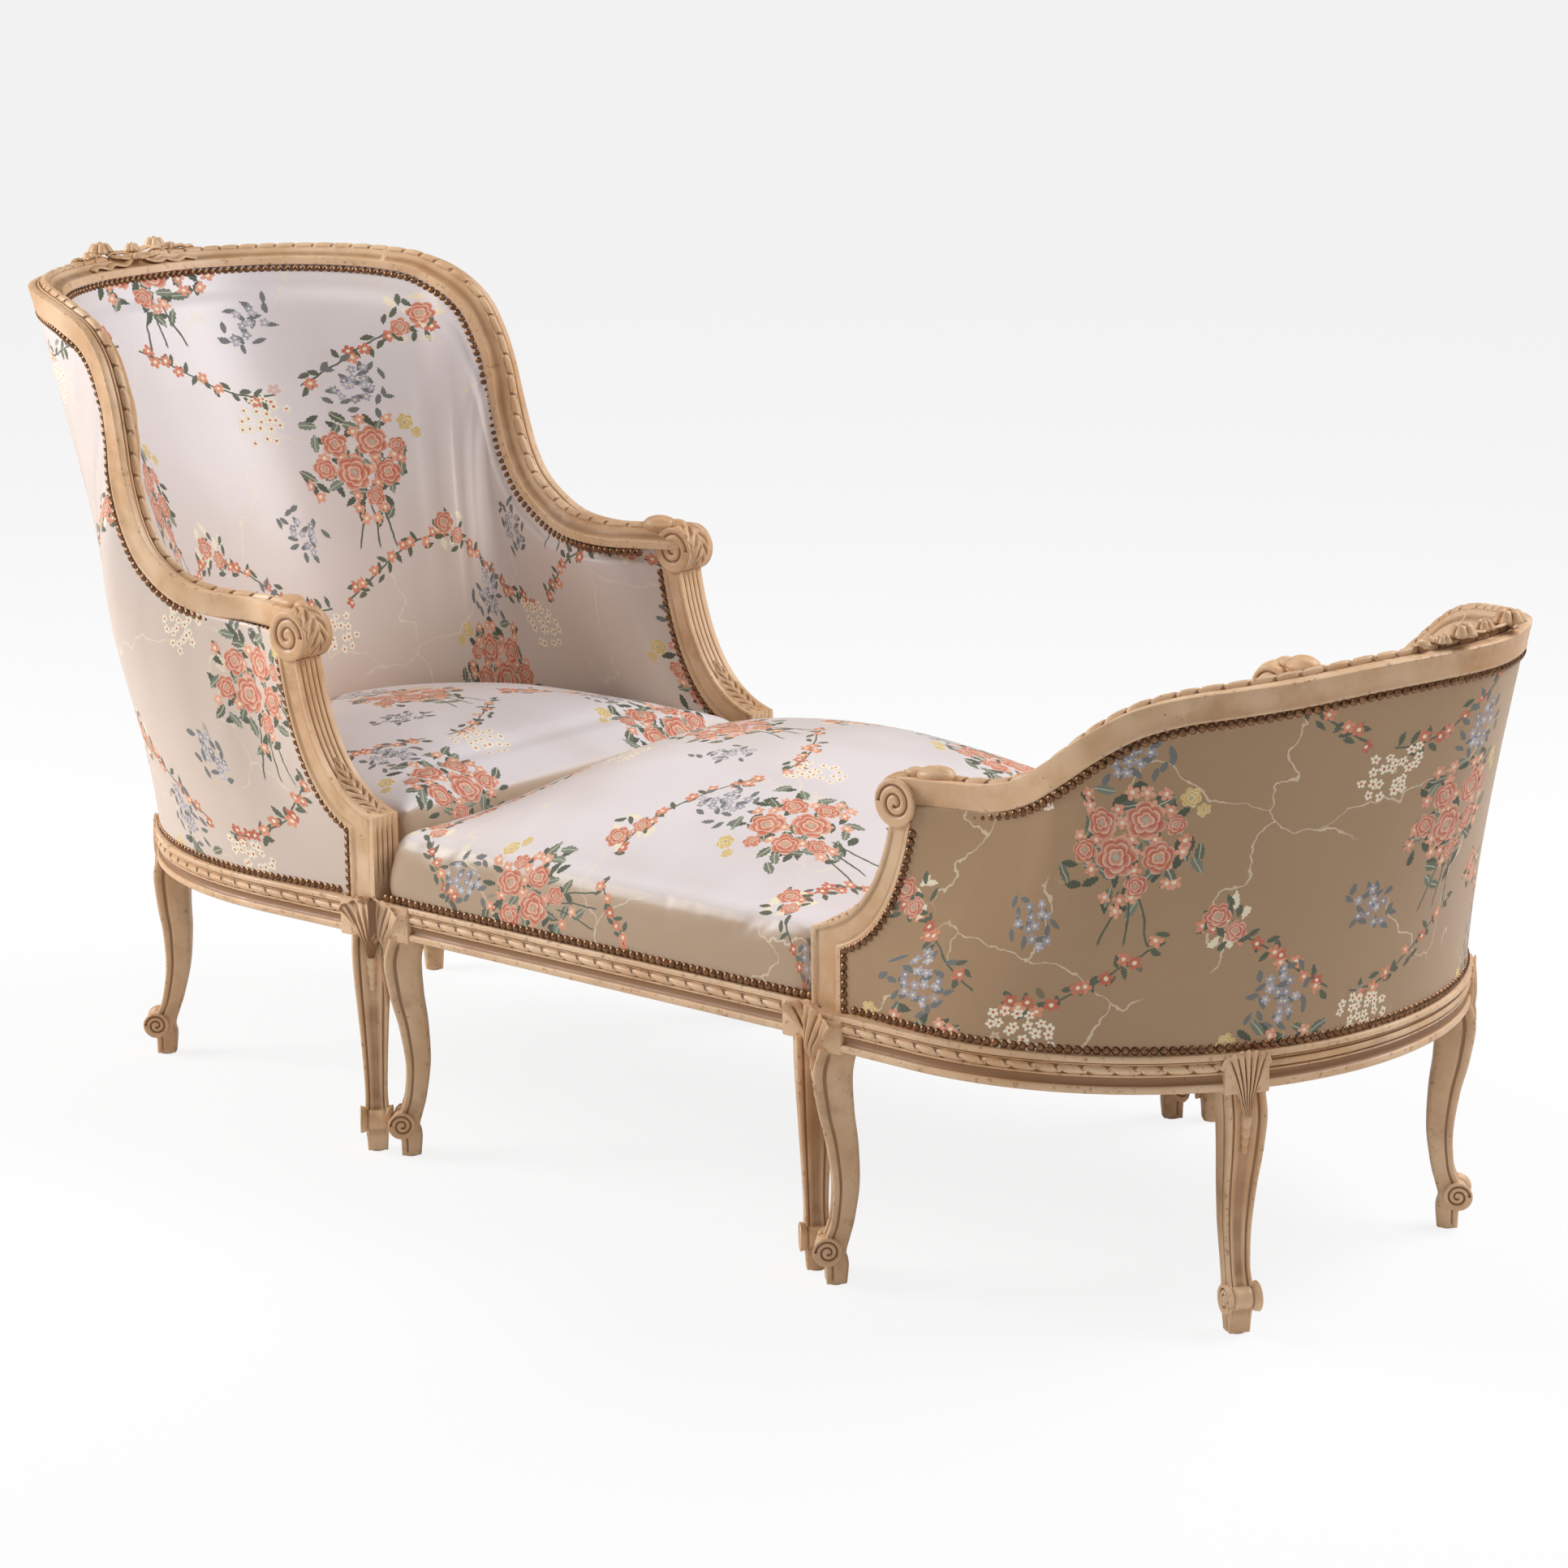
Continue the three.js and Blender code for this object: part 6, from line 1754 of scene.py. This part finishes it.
class DUCHESSE_OT_legs(bpy.types.Operator):
    """Carves the twelve cabriole legs, cut flat where two sections meet"""
    bl_idname = "duchesse.legs"
    bl_label = "Cabriole legs"

    def execute(self, context):
        corner = math.sqrt(0.5)
        for key, tub in TUBS.items():
            front = tub["front_half"] + LEG_PROUD - BLOCK / 2
            plane = [(Vector(to_world(tub, [0, 0, 0])), Vector((-tub["turn"], 0, 0)))]
            for side, word in ((-1, "left"), (1, "right")):
                base = to_world(tub, [BLOCK / 2, side * front, 0])
                direction = way_to_world(tub, [-corner, side * corner, 0])
                leg = leg_piece(f"{key}_front_{word}_leg_carved", base, direction, 0.0, 0.0, plane)
                settle(leg, tub, PAINTED, f"{key}_front_{word}_leg", finish=FINISH["paint"])
                angle = side * tub["leg_angle"]
                rear = plan_point(tub, angle)
                ahead = unit(plan_point(tub, angle + 1e-4) - plan_point(tub, angle - 1e-4))
                out = np.cross(ahead, UP)
                base = to_world(tub, rear + out * (LEG_PROUD - BLOCK / 2))
                direction = way_to_world(tub, out)
                turned = math.atan2(direction[1], direction[0])
                leg = leg_piece(f"{key}_rear_{word}_leg_carved", base, direction, tub["splay"], turned, [])
                settle(leg, tub, PAINTED, f"{key}_rear_{word}_leg", finish=FINISH["paint"])
        across = STOOL["half"] + LEG_PROUD - BLOCK / 2
        for end, row, x in ((-1, "front", BLOCK / 2), (1, "rear", STOOL["length"] - BLOCK / 2)):
            for side, word in ((-1, "right"), (1, "left")):
                base = np.array([STOOL["start"] + x, side * across, 0])
                plane_x = STOOL["start"] + (0 if end < 0 else STOOL["length"])
                direction = np.array([end * corner, side * corner, 0])
                leg = leg_piece(f"stool_{row}_{word}_leg_carved", base, direction,
                                0.0, 0.0, [(Vector((plane_x, 0, 0)), Vector((end, 0, 0)))])
                settle(leg, STOOL, PAINTED, f"stool_{row}_{word}_leg", finish=FINISH["paint"])
        return {"FINISHED"}


class DUCHESSE_OT_seat_rails(bpy.types.Operator):
    """Shapes the moulded seat rails, with a ribbon carved along the sides"""
    bl_idname = "duchesse.seat_rails"
    bl_label = "Seat rails"

    def execute(self, context):
        sizes = sizes_now()
        for key, tub in TUBS.items():
            front = plan_angle_at(tub, BLOCK / 2)
            rear = tub["leg_angle"]
            runs = (("left", -front, -rear, True), ("right", rear, front, True), ("back", -rear, rear, False))
            for word, first, last, carved in runs:
                rail = mark_hollows(seat_rail_piece(key, word, first, last, sizes, carved))
                settle(rail, tub, PAINTED, f"{key}_{word}_seat_rail", finish=FINISH["paint"])
        for side, word in ((1, "left"), (-1, "right")):
            x = np.arange(BLOCK / 2, STOOL["length"] - BLOCK / 2, 0.0020)
            count = len(x)
            y, z = np.full(count, side * STOOL["half"]), np.full(count, RAIL_TOP - RAIL_HEIGHT)
            rings = dict(origin=np.column_stack([STOOL["start"] + x, y, z]), length=x,
                         out=np.repeat([[0.0, side, 0.0]], count, 0), up=np.repeat(UP[None], count, 0))
            points = moulded(rings, RAIL_LOWER, RAIL_RIBBON, RAIL_UPPER, sizes, True)
            rail = tube(f"stool_{word}_seat_rail_carved", points)
            settle(mark_hollows(rail), STOOL, PAINTED, f"stool_{word}_seat_rail", finish=FINISH["paint"])
        return {"FINISHED"}


class DUCHESSE_OT_show_wood(bpy.types.Operator):
    """Carves the arms with their scrolls and the crests with their flowers and bows"""
    bl_idname = "duchesse.show_wood"
    bl_label = "Arms and crests"

    def execute(self, context):
        sizes = sizes_now()
        for key, tub in TUBS.items():
            for side, word in ((-1, "left"), (1, "right")):
                arm = mark_hollows(arm_piece(key, side, sizes))
                settle(arm, tub, PAINTED, f"{key}_{word}_arm", finish=FINISH["paint"])
            crest = mark_hollows(crest_piece(key, sizes))
            settle(crest, tub, PAINTED, f"{key}_crest_rail", finish=FINISH["paint"])
        return {"FINISHED"}


class DUCHESSE_OT_arm_supports(bpy.types.Operator):
    """Carves the arm supports, fluted above and with a leaf below"""
    bl_idname = "duchesse.arm_supports"
    bl_label = "Arm supports"

    def execute(self, context):
        for key, tub in TUBS.items():
            for side, word in ((-1, "left"), (1, "right")):
                support = mark_hollows(console_piece(key, side))
                settle(support, tub, PAINTED, f"{key}_{word}_arm_support", finish=FINISH["paint"])
        return {"FINISHED"}


class DUCHESSE_OT_covers(bpy.types.Operator):
    """Stretches the brocade over the outside and the padded inside of each tub"""
    bl_idname = "duchesse.covers"
    bl_label = "Covers of the tubs"

    def execute(self, context):
        sizes = sizes_now()
        for key, tub in TUBS.items():
            # The foot chair's outside cover takes the darkened brocade, which is painted shade
            finish, slot = ("brocade", "brocade") if key == "bergere" else ("outside", "outside_brocade")
            cover = outside_cover_piece(key, sizes)
            settle(cover, tub, slot, f"{key}_outside_cover", finish=FINISH[finish])
            back = inside_back_piece(key, sizes)
            settle(back, tub, "brocade", f"{key}_inside_back", finish=FINISH["brocade"])
        return {"FINISHED"}


class DUCHESSE_OT_seats(bpy.types.Operator):
    """Stuffs the three seats"""
    bl_idname = "duchesse.seats"
    bl_label = "Stuffed seats"

    def execute(self, context):
        for key, tub in TUBS.items():
            seat = tub_seat_piece(key)
            settle(seat, tub, "brocade", f"{key}_seat_pad", finish=FINISH["seat"])
        seat = stool_seat_piece()
        settle(seat, STOOL, "brocade", "stool_seat_pad", finish=FINISH["seat"])
        return {"FINISHED"}


class DUCHESSE_OT_nails(bpy.types.Operator):
    """Drives the rows of domed nails along the edges of the brocade"""
    bl_idname = "duchesse.nails"
    bl_label = "Rows of nails"

    def execute(self, context):
        sizes = sizes_now()
        for key, tub in TUBS.items():
            cover = outside_cover_points(tub, sizes)
            rows = sheet_nails(tub, cover, outward_of(tub, cover), tub["block_top"] - 0.11, -0.0022, 1, True)
            piece = nail_rows(f"{key}_outside_nail_heads", rows, sizes)
            settle(piece, tub, "nails", f"{key}_outside_nails", f"{key}_crest_nails", finish=FINISH["nails"])
            back = inside_back_points(tub, sizes)
            rows = sheet_nails(tub, back, -outward_of(tub, back), tub["edge"] - 0.02, -SHOW_WIDTH + 0.0006, -1,
                               False)
            piece = nail_rows(f"{key}_inside_nail_heads", rows, sizes)
            settle(piece, tub, "nails", f"{key}_inside_nails", finish=FINISH["nails"])
        for side, word in ((1, "left"), (-1, "right")):
            x = np.linspace(STOOL["start"] + 0.008, STOOL["start"] + STOOL["length"] - 0.008, 60)
            y, z = np.full(60, side * (STOOL["half"] - 0.0025)), np.full(60, RAIL_TOP + 0.0062)
            places = np.column_stack([x, y, z])
            ways = np.repeat([[0.0, side, 0.0]], 60, 0)
            piece = nail_rows(f"stool_{word}_nail_heads", [(places, ways)], sizes)
            settle(piece, STOOL, "nails", f"stool_{word}_nails", finish=FINISH["nails"])
        return {"FINISHED"}


FRAME_FINISHES = (("seat_rail", "paint"), ("post", "beech"), ("webbing", "jute"), ("springs", "steel"))


class DUCHESSE_OT_frame_finishes(bpy.types.Operator):
    """Gives the front rails, the posts, the webbing and the springs of the frame their finishes"""
    bl_idname = "duchesse.frame_finishes"
    bl_label = "Finishes of the frame"

    def execute(self, context):
        for name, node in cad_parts.items():
            if node.hide_render:
                continue
            for word, finish in FRAME_FINISHES:
                if word in name:
                    for place in node.material_slots:
                        place.material = FINISH[finish]
        return {"FINISHED"}


class DUCHESSE_OT_stage(bpy.types.Operator):
    """Sets the camera, the lights, the floor and the world"""
    bl_idname = "duchesse.stage"
    bl_label = "Stage"

    def execute(self, context):
        scene = context.scene
        bpy.ops.object.camera_add()
        camera = bpy.context.object
        camera.name = camera.data.name = "camera"
        camera.data.sensor_width = 36
        camera.data.lens = CAMERA_LENS
        camera.data.clip_end = 200
        camera.matrix_world = camera_matrix()
        scene.camera = camera
        for light in LIGHTS:
            soft_light(*light)
        pale_floor()
        white_world()
        scene.view_settings.view_transform = "Standard"
        return {"FINISHED"}


STEPS = (DUCHESSE_OT_finishes, DUCHESSE_OT_legs, DUCHESSE_OT_seat_rails, DUCHESSE_OT_show_wood,
         DUCHESSE_OT_arm_supports, DUCHESSE_OT_covers, DUCHESSE_OT_seats, DUCHESSE_OT_nails,
         DUCHESSE_OT_frame_finishes, DUCHESSE_OT_stage)


class DUCHESSE_PT_panel(bpy.types.Panel):
    """Buttons for each group of pieces, and the sizes and colours they are made from"""
    bl_idname = "DUCHESSE_PT_panel"
    bl_label = "Duchesse Brisee"
    bl_space_type = "VIEW_3D"
    bl_region_type = "UI"
    bl_category = "Duchesse"

    def draw(self, context):
        for settings in (context.scene.duchesse_sizes, context.scene.duchesse_colours):
            box = self.layout.box()
            for key in settings.__annotations__:
                box.prop(settings, key)
        for step in STEPS:
            self.layout.operator(step.bl_idname)


def register():
    for kind in (DuchesseSizes, DuchesseColours, *STEPS, DUCHESSE_PT_panel):
        bpy.utils.register_class(kind)
    bpy.types.Scene.duchesse_sizes = bpy.props.PointerProperty(type=DuchesseSizes)
    bpy.types.Scene.duchesse_colours = bpy.props.PointerProperty(type=DuchesseColours)


def unregister():
    del bpy.types.Scene.duchesse_colours
    del bpy.types.Scene.duchesse_sizes
    for kind in (DUCHESSE_PT_panel, *reversed(STEPS), DuchesseColours, DuchesseSizes):
        bpy.utils.unregister_class(kind)


def main():
    register()
    bpy.ops.duchesse.finishes()
    bpy.ops.duchesse.legs()
    bpy.ops.duchesse.seat_rails()
    bpy.ops.duchesse.show_wood()
    bpy.ops.duchesse.arm_supports()
    bpy.ops.duchesse.covers()
    bpy.ops.duchesse.seats()
    bpy.ops.duchesse.nails()
    bpy.ops.duchesse.frame_finishes()
    bpy.ops.duchesse.stage()


if __name__ == "__main__":
    main()
